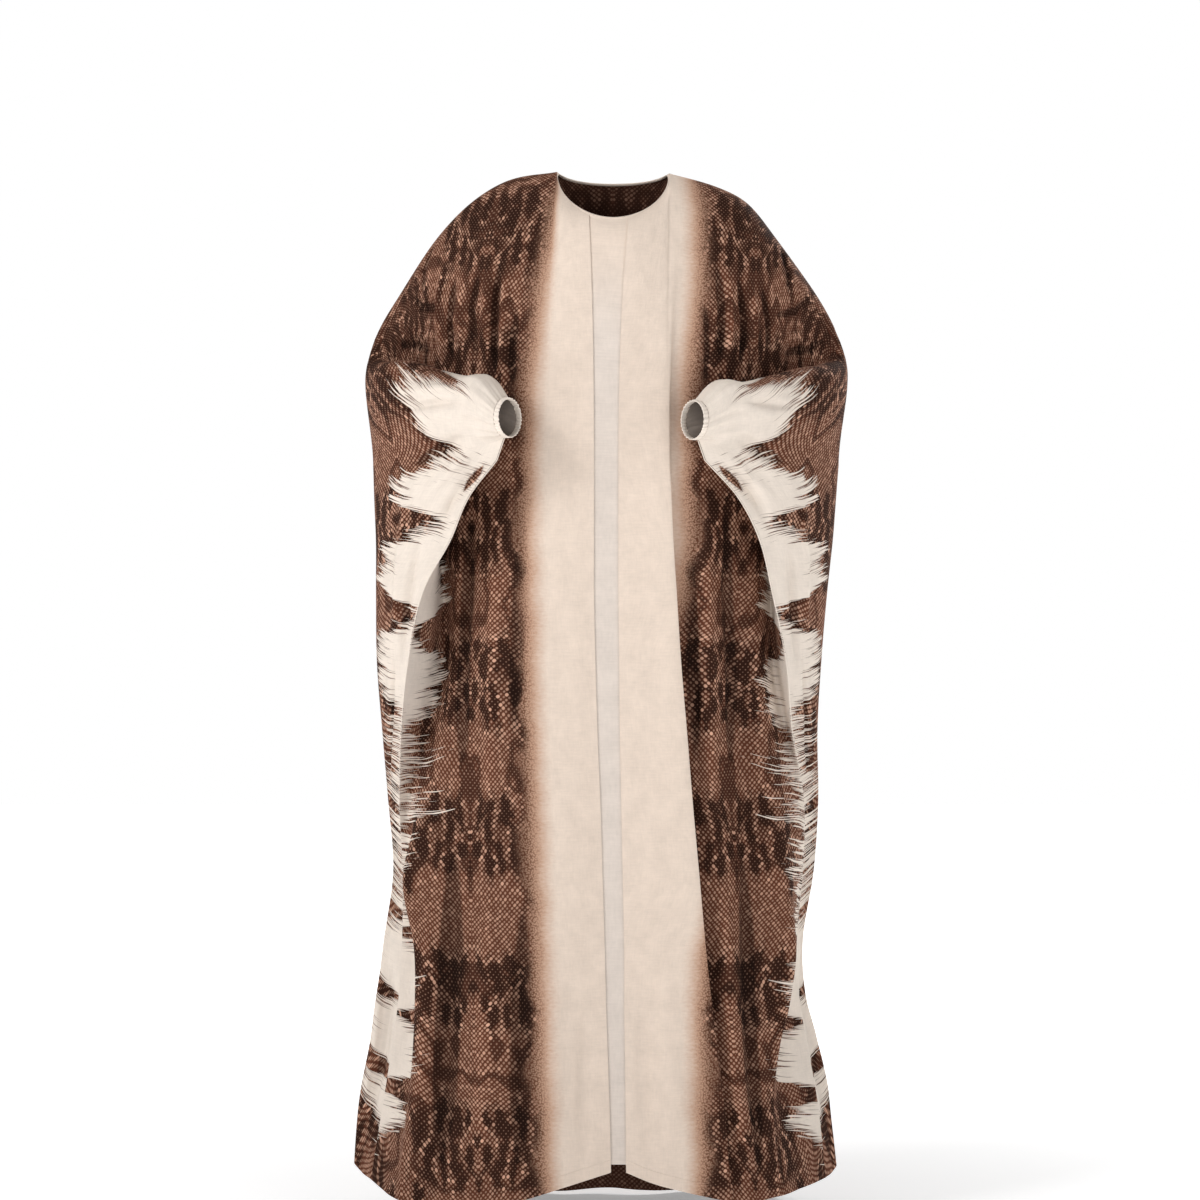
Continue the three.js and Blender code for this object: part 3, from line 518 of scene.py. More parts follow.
class Panel:
    """A panel's points with their flat places: across from the middle, down from the yoke's bottom, inward
    from the outer edge, and along that edge."""

    def __init__(self, points, columns, rows, middle):
        self.points, self.columns, self.rows = points, columns, rows
        steps = np.linalg.norm(np.diff(points, axis=1), axis=2)
        walked = np.concatenate([np.zeros((len(points), 1)), np.cumsum(steps, axis=1)], axis=1)
        self.across = walked - walked[:, middle : middle + 1]
        self.inward = np.where(self.across < 0, walked, walked[:, -1:] - walked)
        if middle == 0:
            self.inward = walked[:, -1:] - walked
        elif middle == len(columns) - 1:
            self.across, self.inward = -self.across, walked
        falls = np.linalg.norm(np.diff(points, axis=0), axis=2)
        fallen = np.concatenate([np.zeros((1, points.shape[1])), np.cumsum(falls, axis=0)])
        yoke_row = np.searchsorted(rows, YOKE_ROWS)
        self.down = fallen - fallen[yoke_row]
        self.pressed = np.zeros(points.shape[:2])
        self.to_hem = fallen[-1] - fallen
        seam_side = np.argmin(np.abs(np.abs(columns) - (COLUMNS - 3)))
        self.along = np.tile(fallen[:, seam_side : seam_side + 1], (1, points.shape[1]))

    def normals(self):
        down, across = np.gradient(self.points, axis=(0, 1))
        normal = np.cross(across, down)
        return normal / np.maximum(np.linalg.norm(normal, axis=2, keepdims=True), 1e-9)

    def place(self, column, row):
        """Flat place of a point of the grid, across and down."""
        order = np.argsort(self.columns)
        at_row = np.interp(row, self.rows, np.arange(len(self.rows)))
        low, share = int(at_row), at_row - int(at_row)
        high = min(low + 1, len(self.rows) - 1)

        def at(values, level):
            return np.interp(column, self.columns[order], values[level][order])

        return [at(values, low) * (1 - share) + at(values, high) * share for values in (self.across, self.down)]

    def press(self, creases):
        """Raises or hollows the cloth along each crease, softly ended at both ends."""
        height = np.zeros(self.points.shape[:2])
        for half_width, depth, *path in creases:
            places = np.array([self.place(*point) for point in zip(path[::2], path[1::2])])
            height += depth * self.crease(places, half_width)
        self.move(height * ease(self.inward, 0, 8) * ease(self.rows[:, None], 0, 0.15))

    def move(self, height):
        """Moves the cloth along its normals, and keeps the sum of it as the height of its folds."""
        self.points += self.normals() * height[..., None]
        self.pressed += height

    def crease(self, places, half_width):
        flat = np.stack([self.across, self.down], axis=2)
        pieces = np.linalg.norm(np.diff(places, axis=0), axis=1)
        total, walked = pieces.sum(), 0
        nearest, travelled = np.full(flat.shape[:2], 1e9), np.zeros(flat.shape[:2])
        for start, end, length in zip(places[:-1], places[1:], pieces):
            share = np.clip(((flat - start) @ (end - start)) / length**2, 0, 1)
            offset = flat - start - share[..., None] * (end - start)
            distance = np.linalg.norm(offset, axis=2)
            closer = distance < nearest
            nearest = np.where(closer, distance, nearest)
            travelled = np.where(closer, walked + share * length, travelled)
            walked += length
        ends = ease(travelled, 0, total * 0.35) * ease(total - travelled, 0, total * 0.35)
        width = half_width * (0.65 + 0.35 * ends)
        sharp = np.exp(-((nearest / (0.55 * width)) ** 2))
        ridge = np.exp(-((nearest / width) ** 2))
        trough = np.exp(-((nearest / (2.4 * width)) ** 2))
        return ends * (0.35 * sharp + 0.95 * ridge - 0.30 * trough)

    def gather(self, table, side):
        """Gathers that run out from the casing round a wrist."""
        height = np.zeros(self.points.shape[:2])
        on_side = self.columns * side >= 0
        for row, half_width, depth, reach in table:
            spread = 1 + self.inward / reach * 0.8
            across = (self.rows[:, None] - row) / (half_width * spread)
            swell = 0.45 + 0.55 * ease(self.inward, 0, 14)
            fade = 1 - ease(self.inward, reach * 0.35, reach)
            height += depth * swell * fade * (np.exp(-(across**2)) - 0.42 * np.exp(-((across / 2.2) ** 2)))
        near = 1 - ease(self.inward, 70, 110)
        ends = ease(self.rows, 0, 0.3) * (1 - ease(self.rows, WRIST_ROWS - 0.3, WRIST_ROWS + 0.2))
        self.move(height * near * ends[:, None] * on_side)


def front_panel(gown):
    """A front, with its columns running towards the wearer's right so that its faces point forward."""
    points = half_points(gown, True)
    columns, rows = grid_places(True)
    if gown is RIGHT:
        return Panel(points, columns, rows, 0)
    points = undercut(points, columns)
    return Panel(points[:, ::-1].copy(), columns[::-1].copy(), rows, len(columns) - 1)


def back_panel():
    """The back in one piece, from the right cuff to the left one. Columns on the right are negative."""
    columns, rows = grid_places(False)
    points = np.concatenate([half_points(RIGHT, False)[:, ::-1], half_points(LEFT, False)[:, 1:]], axis=1)
    return Panel(points, np.append(-columns[::-1], columns[1:]), rows, len(columns) - 1)


# ---- shader maths ----


def operation(name, turned=False):
    """A method that adds a Math node, with its two values changed round where the number stands first."""

    def method(self, *other):
        return self.nodes.math(name, *((*other, self) if turned else (self, *other)))

    return method


class Shade:
    """A node's output. An expression on it adds its Math nodes."""

    def __init__(self, nodes, socket):
        self.nodes, self.socket = nodes, socket

    __add__ = __radd__ = operation("ADD")
    __sub__, __rsub__ = operation("SUBTRACT"), operation("SUBTRACT", True)
    __mul__ = __rmul__ = operation("MULTIPLY")
    __truediv__, __mod__ = operation("DIVIDE"), operation("FLOORED_MODULO")
    __pow__, __abs__ = operation("POWER"), operation("ABSOLUTE")
    least, most, floor = operation("MINIMUM"), operation("MAXIMUM"), operation("FLOOR")

    def __neg__(self):
        return self * -1.0

    def step(self, low, high):
        """0 below low, 1 above high, and smooth between them."""
        inputs = {"Value": self, "From Min": low, "From Max": high}
        return self.nodes.add("ShaderNodeMapRange", {"interpolation_type": "SMOOTHSTEP"}, inputs)


class Nodes:
    """Adds nodes to a tree, and feeds them to its closing shader."""

    def __init__(self, tree, shader):
        self.tree, self.shader = tree, tree.nodes[shader]

    def add(self, kind, settings=None, inputs=None, output=0):
        """Adds a node with its settings first, then the values or links of its sockets."""
        node = self.tree.nodes.new(kind)
        for name, value in (settings or {}).items():
            if name == "stops":
                while len(node.color_ramp.elements) < len(value):
                    node.color_ramp.elements.new(0.5)
                for element, (position, colour) in zip(node.color_ramp.elements, value):
                    element.position, element.color = position, colour
            else:
                setattr(node, name, value)
        self.feed(inputs or {}, node)
        return Shade(self, node.outputs[output])

    def feed(self, inputs, node=None):
        """Gives sockets their values or links. They are the closing shader's if no node is named."""
        for name, value in inputs.items():
            socket = (node or self.shader).inputs[name]
            if isinstance(value, Shade):
                self.tree.links.new(value.socket, socket)
            else:
                socket.default_value = value

    def math(self, operation, *values):
        return self.add("ShaderNodeMath", {"operation": operation}, dict(enumerate(values)))

    def place(self, layer):
        """The two numbers of a flat place that the cloth carries."""
        spot = self.add("ShaderNodeUVMap", {"uv_map": layer})
        return [self.part(spot, axis) for axis in (0, 1)]

    def vector(self, x, y, z=0.0):
        return self.add("ShaderNodeCombineXYZ", None, {0: x, 1: y, 2: z})

    def part(self, vector, axis=0):
        return self.add("ShaderNodeSeparateXYZ", None, {0: vector}, axis)

    def noise(self, x, y, z, detail=2.0, roughness=0.5):
        """Noise of one unit's size, about 0.5."""
        inputs = {"Vector": self.vector(x, y, z), "Scale": 1.0, "Detail": detail, "Roughness": roughness}
        return self.add("ShaderNodeTexNoise", {"noise_dimensions": "3D"}, inputs)

    def mix(self, share, first, second):
        """Colour between two colours."""
        return self.add("ShaderNodeMix", {"data_type": "RGBA"}, {0: share, 6: tint(first), 7: tint(second)}, 2)

    def shaded(self, colour, amount):
        """A colour made darker or lighter by a number."""
        base = colour if isinstance(colour, Shade) else colour[:3]
        return self.add("ShaderNodeVectorMath", {"operation": "SCALE"}, {0: base, 3: amount})

    def bump(self, height, distance, strength):
        inputs = {"Height": height, "Distance": distance, "Strength": strength}
        self.feed({"Normal": self.add("ShaderNodeBump", None, inputs)})


class Finish(Nodes):
    """A material in the making."""

    def __init__(self, name, roughness, sheen):
        self.material = bpy.data.materials.new(name)
        self.material.use_nodes = True
        super().__init__(self.material.node_tree, "Principled BSDF")
        self.feed({"Roughness": roughness, "Specular IOR Level": 0.06})
        self.feed({"Sheen Weight": sheen, "Sheen Roughness": 0.6})


def tint(colour):
    """A user's colour as a socket takes it, or a shade as it is."""
    return colour if isinstance(colour, Shade) else (*colour[:3], 1.0)


def weave(finish, across, down, pitch):
    """Crossing threads, uneven in thickness, as a height of about 0 to 1."""
    slub = finish.noise(across * 60.0, down * 900.0, 3.0)
    slub_down = finish.noise(across * 900.0, down * 60.0, 7.0)
    warp = finish.math("SINE", across * (2 * math.pi / pitch))
    weft = finish.math("SINE", down * (2 * math.pi / pitch))
    return (slub + slub_down) * 0.5 + (warp * weft) * 0.12


def linen(finish, across, down, base):
    """Slubby linen: soft clouds, and long thin threads both ways."""
    clouds = finish.noise(across * 42.0, down * 34.0, 1.0, 4.0, 0.62)
    threads = finish.noise(across * 420.0, down * 58.0, 5.0, 2.0, 0.6)
    wefts = finish.noise(across * 58.0, down * 420.0, 9.0, 2.0, 0.6)
    amount = 1.0 + (clouds - 0.5) * 0.26 + (threads - 0.5) * 0.13 + (wefts - 0.5) * 0.16
    return finish.shaded(base, amount)


class Snakeskin:
    """A python repeat of small scales on a slanted lattice, mirrored about its axis, with dark blotches that
    come back after each repeat. Columns of it stand side by side, and the blotches of each lie half a repeat
    lower than those of the one before. Its numbers are read at the middle of the scale they fall in."""

    # across from the axis, down in the repeat, half width, half height, in millimetres
    BLOTCHES = (
        (15, -54, 6, 18), (34, -36, 8, 28), (58, -52, 9, 24), (13, 2, 5, 12), (30, 22, 7, 22), (50, 12, 6, 26),
        (74, -4, 8, 30), (94, -40, 10, 30), (92, 36, 8, 22), (110, 4, 6, 20), (0, -18, 4, 9), (0, 34, 4, 10),
    )

    def __init__(self, finish, across, down, repeat, pitch, column):
        self.finish = finish
        soft = {"Vector": finish.vector(across * 8.0, down * 8.0), "Scale": 1.0, "Detail": 1.0}
        flow = finish.add("ShaderNodeTexNoise", {"noise_dimensions": "2D"}, soft, 1)
        drift = [finish.part(flow, axis) for axis in (0, 1)]
        turn = (across / column + 0.5).floor()
        aside = abs(across - turn * column) + (drift[0] - 0.5) * 0.020
        along = down + (drift[1] - 0.5) * 0.030
        wide, tall = aside / pitch, along / (pitch * 1.12)
        first, second = wide + tall, wide - tall
        cell = first.floor(), second.floor()
        inside = [value - corner - 0.5 for value, corner in zip((first, second), cell)]
        self.reach = finish.math("SQRT", inside[0] * inside[0] * 1.2 + inside[1] * inside[1] * 0.85)
        numbers = {"Vector": finish.vector(*cell)}
        self.chance = finish.add("ShaderNodeTexWhiteNoise", {"noise_dimensions": "3D"}, numbers)
        self.across = (cell[0] + cell[1] + 1.0) * (0.5 * pitch)
        self.down = (cell[0] - cell[1]) * (0.5 * pitch * 1.12)
        self.big = finish.noise(self.across * 17.0, self.down * 11.0, 4.0)
        self.blotch = self.blotches(repeat, (turn % 2.0) * (0.5 * repeat), 0.5 * column)

    def blotches(self, repeat, shift, margin):
        """Below 0 outside the blotches and up to 1 in their middles."""
        finish = self.finish
        lean = finish.noise(self.across * 30.0, self.down * 15.0, 6.0, 1.0)
        ragged = finish.noise(self.across * 120.0, self.down * 80.0, 2.0)
        across = self.across + (lean - 0.5) * 0.026
        bent = (self.big - 0.5) * 0.07 - self.across * self.across * 1.8
        down = ((self.down + shift + bent) % repeat) - 0.5 * repeat
        field = None
        for middle, height, half_width, half_height in self.BLOTCHES:
            x, y = (across - middle * MM) / (half_width * MM), (down - height * MM) / (half_height * MM)
            blotch = 1.0 - (x * x + y * y)
            field = blotch if field is None else field.most(blotch)
        field = field.most(-2.4) + (ragged - 0.5) * 4.4 + (self.chance - 0.5) * 0.7 + (self.big - 0.5) * 1.0
        return field - (self.across + (lean - 0.5) * 0.07).step(margin - 0.040, margin) * 2.2

    def outlines(self):
        """Dark lines, one or two scales wide, that wander between the fields of scales."""
        winding = self.finish.noise(self.across * 12.0, self.down * 7.0, 9.0)
        return 1.0 - abs(winding - 0.5).step(0.010, 0.028)

    def colour(self, look):
        finish = self.finish
        dark = (self.blotch.step(-0.30, 0.20) * 0.9).most(self.outlines() * 0.7)
        calm = 1.0 - self.blotch.step(-2.4, -0.9)
        bright = self.chance ** 4.0 * (1.0 - calm) * (1.0 - dark)
        size = 0.32 + bright * 0.10 + (self.chance - 0.5) * 0.14 - dark * (0.12 + self.chance * 0.14)
        dot = 1.0 - (self.reach - size).step(-0.12, 0.12)
        ground = finish.mix(dark, look.brown_colour, look.dark_colour)
        ground = finish.shaded(ground, 0.50 + self.big * 0.56 + calm * 0.50)
        amount = 0.55 + self.chance * 0.30 + bright * 0.5 + (self.big - 0.5) * 0.4 + calm * 0.13
        amount = amount * (1.0 - dark * 0.42)
        return finish.mix(dot, ground, finish.shaded(look.scale_colour, amount)), dot


def printed_cloth(name, look, sizes, wrong_side=False):
    """Printed linen: a plain pale middle, a soft brown edge, python skin, and a feathered pale border."""
    finish = Finish(name, 0.85, 0.0)
    across, down = finish.place("print")
    inward, along = finish.place("border")
    to_hem, pressed = finish.place("edges")
    axis = sizes.print_axis
    skin = Snakeskin(finish, across - axis, down, sizes.print_repeat, sizes.scale_pitch, sizes.print_column)
    skin_colour, dots = skin.colour(look)
    base = linen(finish, across, down, look.linen_colour)
    edge = sizes.plain_half_width
    # the soft edge of the plain middle, warm at first, with short brush marks across it
    brush = finish.noise(across * 130.0, down * 330.0, 11.0, 3.0, 0.6)
    sweep = finish.noise(across * 12.0, down * 15.0, 13.0, 1.0)
    shade = across + (brush - 0.5) * 0.018 + (sweep - 0.5) * 0.014
    fine = finish.vector(across * 330.0 + down * 140.0, down * 330.0 - across * 140.0)
    speckle = finish.add("ShaderNodeTexVoronoi", {"voronoi_dimensions": "2D"}, {"Vector": fine, "Scale": 1.0})
    band = finish.mix((speckle - 0.34).step(-0.16, 0.30), look.tan_colour, look.soft_colour)
    band = finish.mix(across.step(edge, edge + 0.034) * 0.6, band, look.brown_colour)
    band = finish.shaded(band, 0.94 + (sweep - 0.5) * 0.5)
    warm = finish.mix(shade.step(edge - 0.024, edge + 0.008), base, look.tan_colour)
    edge_colour = finish.mix(shade.step(edge - 0.006, edge + 0.018), warm, band)
    zigzag = across + (sweep - 0.5) * 0.060 + (brush - 0.5) * 0.008
    full = zigzag.step(edge + 0.009, edge + 0.032)
    outline = zigzag.step(edge + 0.020, edge + 0.026) * (1.0 - zigzag.step(edge + 0.031, edge + 0.038))
    cloth = finish.mix(full, edge_colour, skin_colour)
    outline = outline * 0.55 * (1.0 - dots * 0.7) * brush.step(0.36, 0.60) * shade.step(edge, edge + 0.020)
    cloth = finish.mix(outline, cloth, look.dark_colour)
    # the feathered border along the outer edge, whose strokes lie steeper near its top
    drift = finish.noise(inward * 9.0, along * 11.0, 15.0, 1.0)
    lean = 0.50 - along.step(0.02, 0.24) * 0.30
    slanted = along + inward * lean + (drift - 0.5) * 0.020
    reach = border_reach(finish, slanted, sizes.border_width)
    strokes = finish.noise(inward * 6.0, slanted * 60.0, 17.0, 3.0, 0.66)
    hairs = finish.noise(inward * 13.0, slanted * 520.0, 19.0, 2.0, 0.6)
    streaky = along.step(0.47, 0.53) * (1.0 - along.step(0.81, 0.85)) * 0.13
    depth = reach + (strokes - 0.5) * (0.180 + streaky) + (hairs - 0.5) * (0.120 + streaky) - inward
    streak = (along - 0.190) / 0.022
    streak = (1.0 - streak * streak) * 0.009 + (hairs - 0.5) * 0.012 - abs(inward - 0.015)
    white = depth.step(-0.002, 0.003) * (1.0 - streak.step(0.0, 0.003))
    thinned = (depth.least(0.012 - streak) * 20.0 + (hairs - 0.5) * 2.6).step(-0.20, 0.34)
    pale = finish.mix(thinned, look.stroke_colour, linen(finish, inward, along, look.border_colour))
    cloth = finish.mix(white, cloth, pale)
    # painted shade in the hollows beside pressed folds and a little painted highlight on their ridges, mostly
    # on the print
    printed = full * (1.0 - white)
    painted_fold_shade = pressed.step(0.0, 0.006) * 0.20 - (-pressed).step(0.0004, 0.0026) * 0.52
    cloth = finish.shaded(cloth, painted_fold_shade * (printed * 0.92 + 0.08) + 1.0)
    # the wrong side is toned towards a dark brown: partly the print seen duller through the cloth, partly
    # painted shade of the gown's hollow inside
    if wrong_side:
        cloth = finish.mix(0.62, cloth, look.inside_print_and_shade_colour)
    threads = weave(finish, across, down, sizes.thread_pitch)
    stitch = stitches(finish, to_hem - sizes.hem_depth, across)
    turn = to_hem.step(sizes.hem_depth - 0.001, sizes.hem_depth + 0.001)
    crumple = finish.noise(across * 34.0, down * 24.0, 23.0, 3.0, 0.55)
    height = threads * 0.20 + crumple * 1.6 - turn * 0.35 - stitch * 0.5 - white * 0.02
    finish.bump(height, 0.0011, 0.75)
    finish.feed({"Base Color": cloth, "Roughness": 0.88 - threads * 0.12 - dots * 0.03})
    return finish.material


def border_reach(finish, along, width):
    """How far the pale border reaches in from the outer edge, along that edge."""
    total, stops = 1.20, (
        (0.000, 0.64), (0.030, 0.88), (0.062, 0.90), (0.076, 0.56), (0.096, 0.60), (0.110, 0.94),
        (0.150, 1.00), (0.166, 0.54), (0.194, 0.46), (0.212, 0.88), (0.244, 0.92), (0.258, 0.38),
        (0.292, 0.44), (0.308, 0.76), (0.366, 0.74), (0.382, 0.16), (0.412, 0.20), (0.430, 0.56),
        (0.500, 0.52), (0.530, 0.26), (0.700, 0.22), (0.840, 0.17), (0.866, 0.54), (0.926, 0.58),
        (0.940, 0.08), (0.964, 0.56), (1.020, 0.58), (1.036, 0.06), (1.056, 0.08), (1.068, 0.44),
        (1.104, 0.38), (1.124, 0.00),
    )
    stops = [(place / total, (reach, reach, reach, 1.0)) for place, reach in stops]
    ramp = finish.add("ShaderNodeValToRGB", {"stops": stops}, {"Fac": along / total})
    return finish.part(ramp) * (width + 0.024) - 0.024


def stitches(finish, off, along):
    """A row of short stitches where off is 0, as 0 to 1."""
    line = 1.0 - abs(off).step(0.0002, 0.0007)
    dash = finish.math("SINE", along * (2 * math.pi / 0.0035)).step(-0.5, 0.2)
    return line * dash


def plain_cloth(name, base, sizes, lower=None):
    """Plain slubby linen in one colour, or passing softly into another one below the neckline."""
    finish = Finish(name, 0.88, 0.03)
    across, down = finish.place("print")
    colour = base if lower is None else finish.mix(down.step(0.09, 0.26), base, lower)
    finish.feed({"Base Color": linen(finish, across, down, colour)})
    threads = weave(finish, across, down, sizes.thread_pitch)
    crumple = finish.noise(across * 50.0, down * 30.0, 2.0, 3.0, 0.55)
    finish.bump(threads * 0.22 + crumple * 0.8, 0.001, 0.7)
    return finish.material


# ---- making pieces ----


def deselect():
    if bpy.context.mode != "OBJECT":
        bpy.ops.object.mode_set(mode="OBJECT")
    bpy.ops.object.select_all(action="DESELECT")


def write_points(obj, points):
    obj.data.vertices.foreach_set("co", np.asarray(points, np.float32).ravel())
    obj.data.update()


def write_layer(obj, name, places):
    """Writes flat places, one pair for each vertex, as a UV layer."""
    mesh = obj.data
    layer = mesh.uv_layers.get(name) or mesh.uv_layers.new(name=name)
    corner = np.empty(len(mesh.loops), np.int32)
    mesh.loops.foreach_get("vertex_index", corner)
    layer.data.foreach_set("uv", np.asarray(places, np.float32).reshape(-1, 2)[corner].ravel())


def cloth_grid(name, points, layers):
    """A sheet on rows of points, in millimetres, with its flat places."""
    deselect()
    row_count, column_count = points.shape[:2]
    bpy.ops.mesh.primitive_grid_add(x_subdivisions=column_count - 1, y_subdivisions=row_count - 1, size=1)
    obj = bpy.context.active_object
    obj.name = obj.data.name = name
    if len(obj.data.vertices) != row_count * column_count:
        raise RuntimeError(f"{name}: the grid has {len(obj.data.vertices)} points")
    write_points(obj, points.reshape(-1, 3) * MM)
    obj.data.uv_layers.remove(obj.data.uv_layers[0])
    for layer, (first, second) in layers.items():
        write_layer(obj, layer, np.stack([first, second], axis=2).reshape(-1, 2) * MM)
    return obj


def thicken(obj, thickness, materials):
    """Gives cloth its wall, inward from its outer face, with the wrong side's own material."""
    for material in materials:
        obj.data.materials.append(material)
    wall = obj.modifiers.new("Wall", "SOLIDIFY")
    wall.thickness = thickness
    wall.offset = -1.0
    wall.use_rim = True
    wall.material_offset = len(materials) - 1
    wall.material_offset_rim = 0
    bpy.ops.object.modifier_apply(modifier=wall.name)
    bpy.ops.object.shade_smooth_by_angle(angle=math.radians(50))


def sew_panel(name, panel, print_across, gathers, creases, look, sizes):
    """A panel of printed cloth, gathered at its wrists and pressed into its folds."""
    for side, table in gathers.items():
        panel.gather(table, side)
    panel.press(creases)
    layers = {
        "print": (print_across, panel.down),
        "border": (panel.inward, panel.along),
        "edges": (panel.to_hem, panel.pressed),
    }
    obj = cloth_grid(name, panel.points, layers)
    right_side, wrong_side = "Printed linen", "Printed linen wrong side"
    finishes = [
        bpy.data.materials.get(side) or printed_cloth(side, look, sizes, side is wrong_side)
        for side in (right_side, wrong_side)
    ]
    thicken(obj, sizes.cloth_thickness, finishes)
    return obj


def make_front(gown, name, creases, look, sizes):
    panel = front_panel(gown)
    moved = 0
    if gown is LEFT:
        moved = (through(LEFT_PLAIN_EDGE, panel.rows)[:, 0] - sizes.plain_half_width / MM)[:, None]
    gathers = {1: GATHERS_FRONT if gown is RIGHT else GATHERS_BACK}
    return sew_panel(name, panel, panel.across - moved, gathers, creases, look, sizes)


def make_back(look, sizes):
    panel = back_panel()
    print_across = np.abs(panel.across) + sizes.print_axis / MM
    gathers = {-1: GATHERS_BACK, 1: GATHERS_FRONT}
    return sew_panel("gown_back", panel, print_across, gathers, BACK_CREASES, look, sizes)


def on_neckline(across):
    """Points of the front neckline, also where the front edges leave it open."""
    cosine = np.sqrt(1 - (across / NECK_HALF_WIDTH) ** 2)
    return np.stack([across, -NECK_FRONT_DEPTH * cosine, -NECK_FRONT_DROP * cosine], axis=1)


def make_strip(look, sizes):
    """The inset strip: behind both front edges and the opening between them."""
    gap = 0.5 + sizes.cloth_thickness / MM
    fronts = [front_panel(gown) for gown in (RIGHT, LEFT)]
    edges = []
    for panel, end, inner in zip(fronts, (0, -1), (4, -5)):
        inside = panel.points[:, end] - panel.normals()[:, end] * gap
        beside = panel.points[:, inner] - panel.points[:, end]
        beside /= np.linalg.norm(beside, axis=1, keepdims=True)
        edges.append((inside, inside + beside * STRIP_HIDDEN))
    anchors = np.stack([*edges[1][::-1], *edges[0]], axis=1)
    shares = np.linspace(0, 3, 25)
    low = np.minimum(shares.astype(int), 2)
    part = (shares - low)[None, :, None]
    points = anchors[:, low] * (1 - part) + anchors[:, low + 1] * part
    points[-6:, :, 2] += np.linspace(0, STRIP_SHORTER, 6)[:, None]
    share = np.clip(shares - 1, 0, 1)[:, None]
    chord = fronts[1].points[0, -1] * (1 - share) + fronts[0].points[0, 0] * share
    points += (on_neckline(chord[:, 0]) - chord) * (1 - ease(fronts[0].rows, 0, 1.5))[:, None, None]
    points[0, :, 2] += 3
    widths = np.linalg.norm(points[:, -1] - points[:, 0], axis=1)
    across = widths[:, None] * np.linspace(0, 1, len(shares))
    down = np.tile(-points[:, :1, 2], (1, len(shares)))
    obj = cloth_grid("gown_centre_strip", points, {"print": (across, down)})
    material = plain_cloth("Strip linen", look.linen_colour, sizes, look.strip_colour)
    thicken(obj, sizes.cloth_thickness, [material])
    return obj


def tube_on(name, rings, girth, walked):
    """A closed tube from rings of points, in millimetres, each ring a section of it at its walked length."""
    deselect()
    bpy.ops.mesh.primitive_torus_add(major_segments=len(rings), minor_segments=rings.shape[1])
    obj = bpy.context.active_object
    obj.name = obj.data.name = name
    write_points(obj, rings.reshape(-1, 3) * MM)
    along, around = np.meshgrid(walked, np.linspace(0, girth, rings.shape[1]), indexing="ij")
    write_layer(obj, "print", np.stack([along, around], axis=2).reshape(-1, 2) * MM)
    bpy.ops.object.mode_set(mode="EDIT")
    bpy.ops.mesh.select_all(action="SELECT")
    bpy.ops.mesh.normals_make_consistent(inside=False)
    bpy.ops.object.mode_set(mode="OBJECT")
    bpy.ops.object.shade_smooth()
    return obj


def band_rings(points, onward, normal, width, wall, proud, ripple):
    """Sections of a band that goes on from a loop of edge points, rounded at its lips."""
    turns = np.linspace(0, 2 * math.pi, 17)[:-1]
    lengthwise = np.sign(np.cos(turns)) * np.abs(np.cos(turns)) ** 0.6
    thickness = np.sign(np.sin(turns)) * np.abs(np.sin(turns)) ** 0.8
    centre = points + onward * (SEAM_GAP + width / 2) - normal * wall / 2
    out = (wall / 2 + proud) * thickness[None, :] + ripple[:, None]
    lengthwise = lengthwise[None, :, None] * width / 2
    return centre[:, None] + onward[:, None] * lengthwise + normal[:, None] * out[..., None]


def make_binding(look, sizes):
    """A narrow bound edge all round the neck."""
    front_neck, back_neck = NECK_CELLS * FRONT_STEPS[0], NECK_CELLS * BACK_STEPS[0]
    middle = COLUMNS * BACK_STEPS[0]
    edges = [
        np.stack([panel.points[0], panel.normals()[0]])[:, ::-1][:, part]
        for panel, part in (
            (front_panel(LEFT), slice(0, front_neck + 1)),
            (back_panel(), slice(middle - back_neck + 1, middle + back_neck)),
            (front_panel(RIGHT), slice(-front_neck - 1, None)),
        )
    ]
    points, normals = np.concatenate(edges, axis=1)
    bridge = np.linspace(0, 1, 9)[1:-1, None]
    between = on_neckline(np.linspace(points[-1, 0], points[0, 0], 9)[1:-1])
    points = np.concatenate([points, between])
    normals = np.concatenate([normals, normals[-1] * (1 - bridge) + normals[0] * bridge])
    for _ in range(4):
        normals = (np.roll(normals, 1, 0) + 2 * normals + np.roll(normals, -1, 0)) / 4
    normals /= np.linalg.norm(normals, axis=1, keepdims=True)
    chord = np.roll(points, -1, 0) - np.roll(points, 1, 0)
    onward = np.cross(normals, chord)
    onward /= np.linalg.norm(onward, axis=1, keepdims=True)
    walked = np.concatenate([[0], np.cumsum(np.linalg.norm(np.diff(points, axis=0), axis=1))])
    rings = band_rings(points, onward, normals, BINDING_WIDTH, sizes.cloth_thickness / MM, 0.45, 0 * walked)
    obj = tube_on("gown_neck_binding", rings, BINDING_GIRTH, walked)
    obj.data.materials.append(plain_cloth("Binding linen", look.linen_colour, sizes))
    return obj, walked[-1] * MM


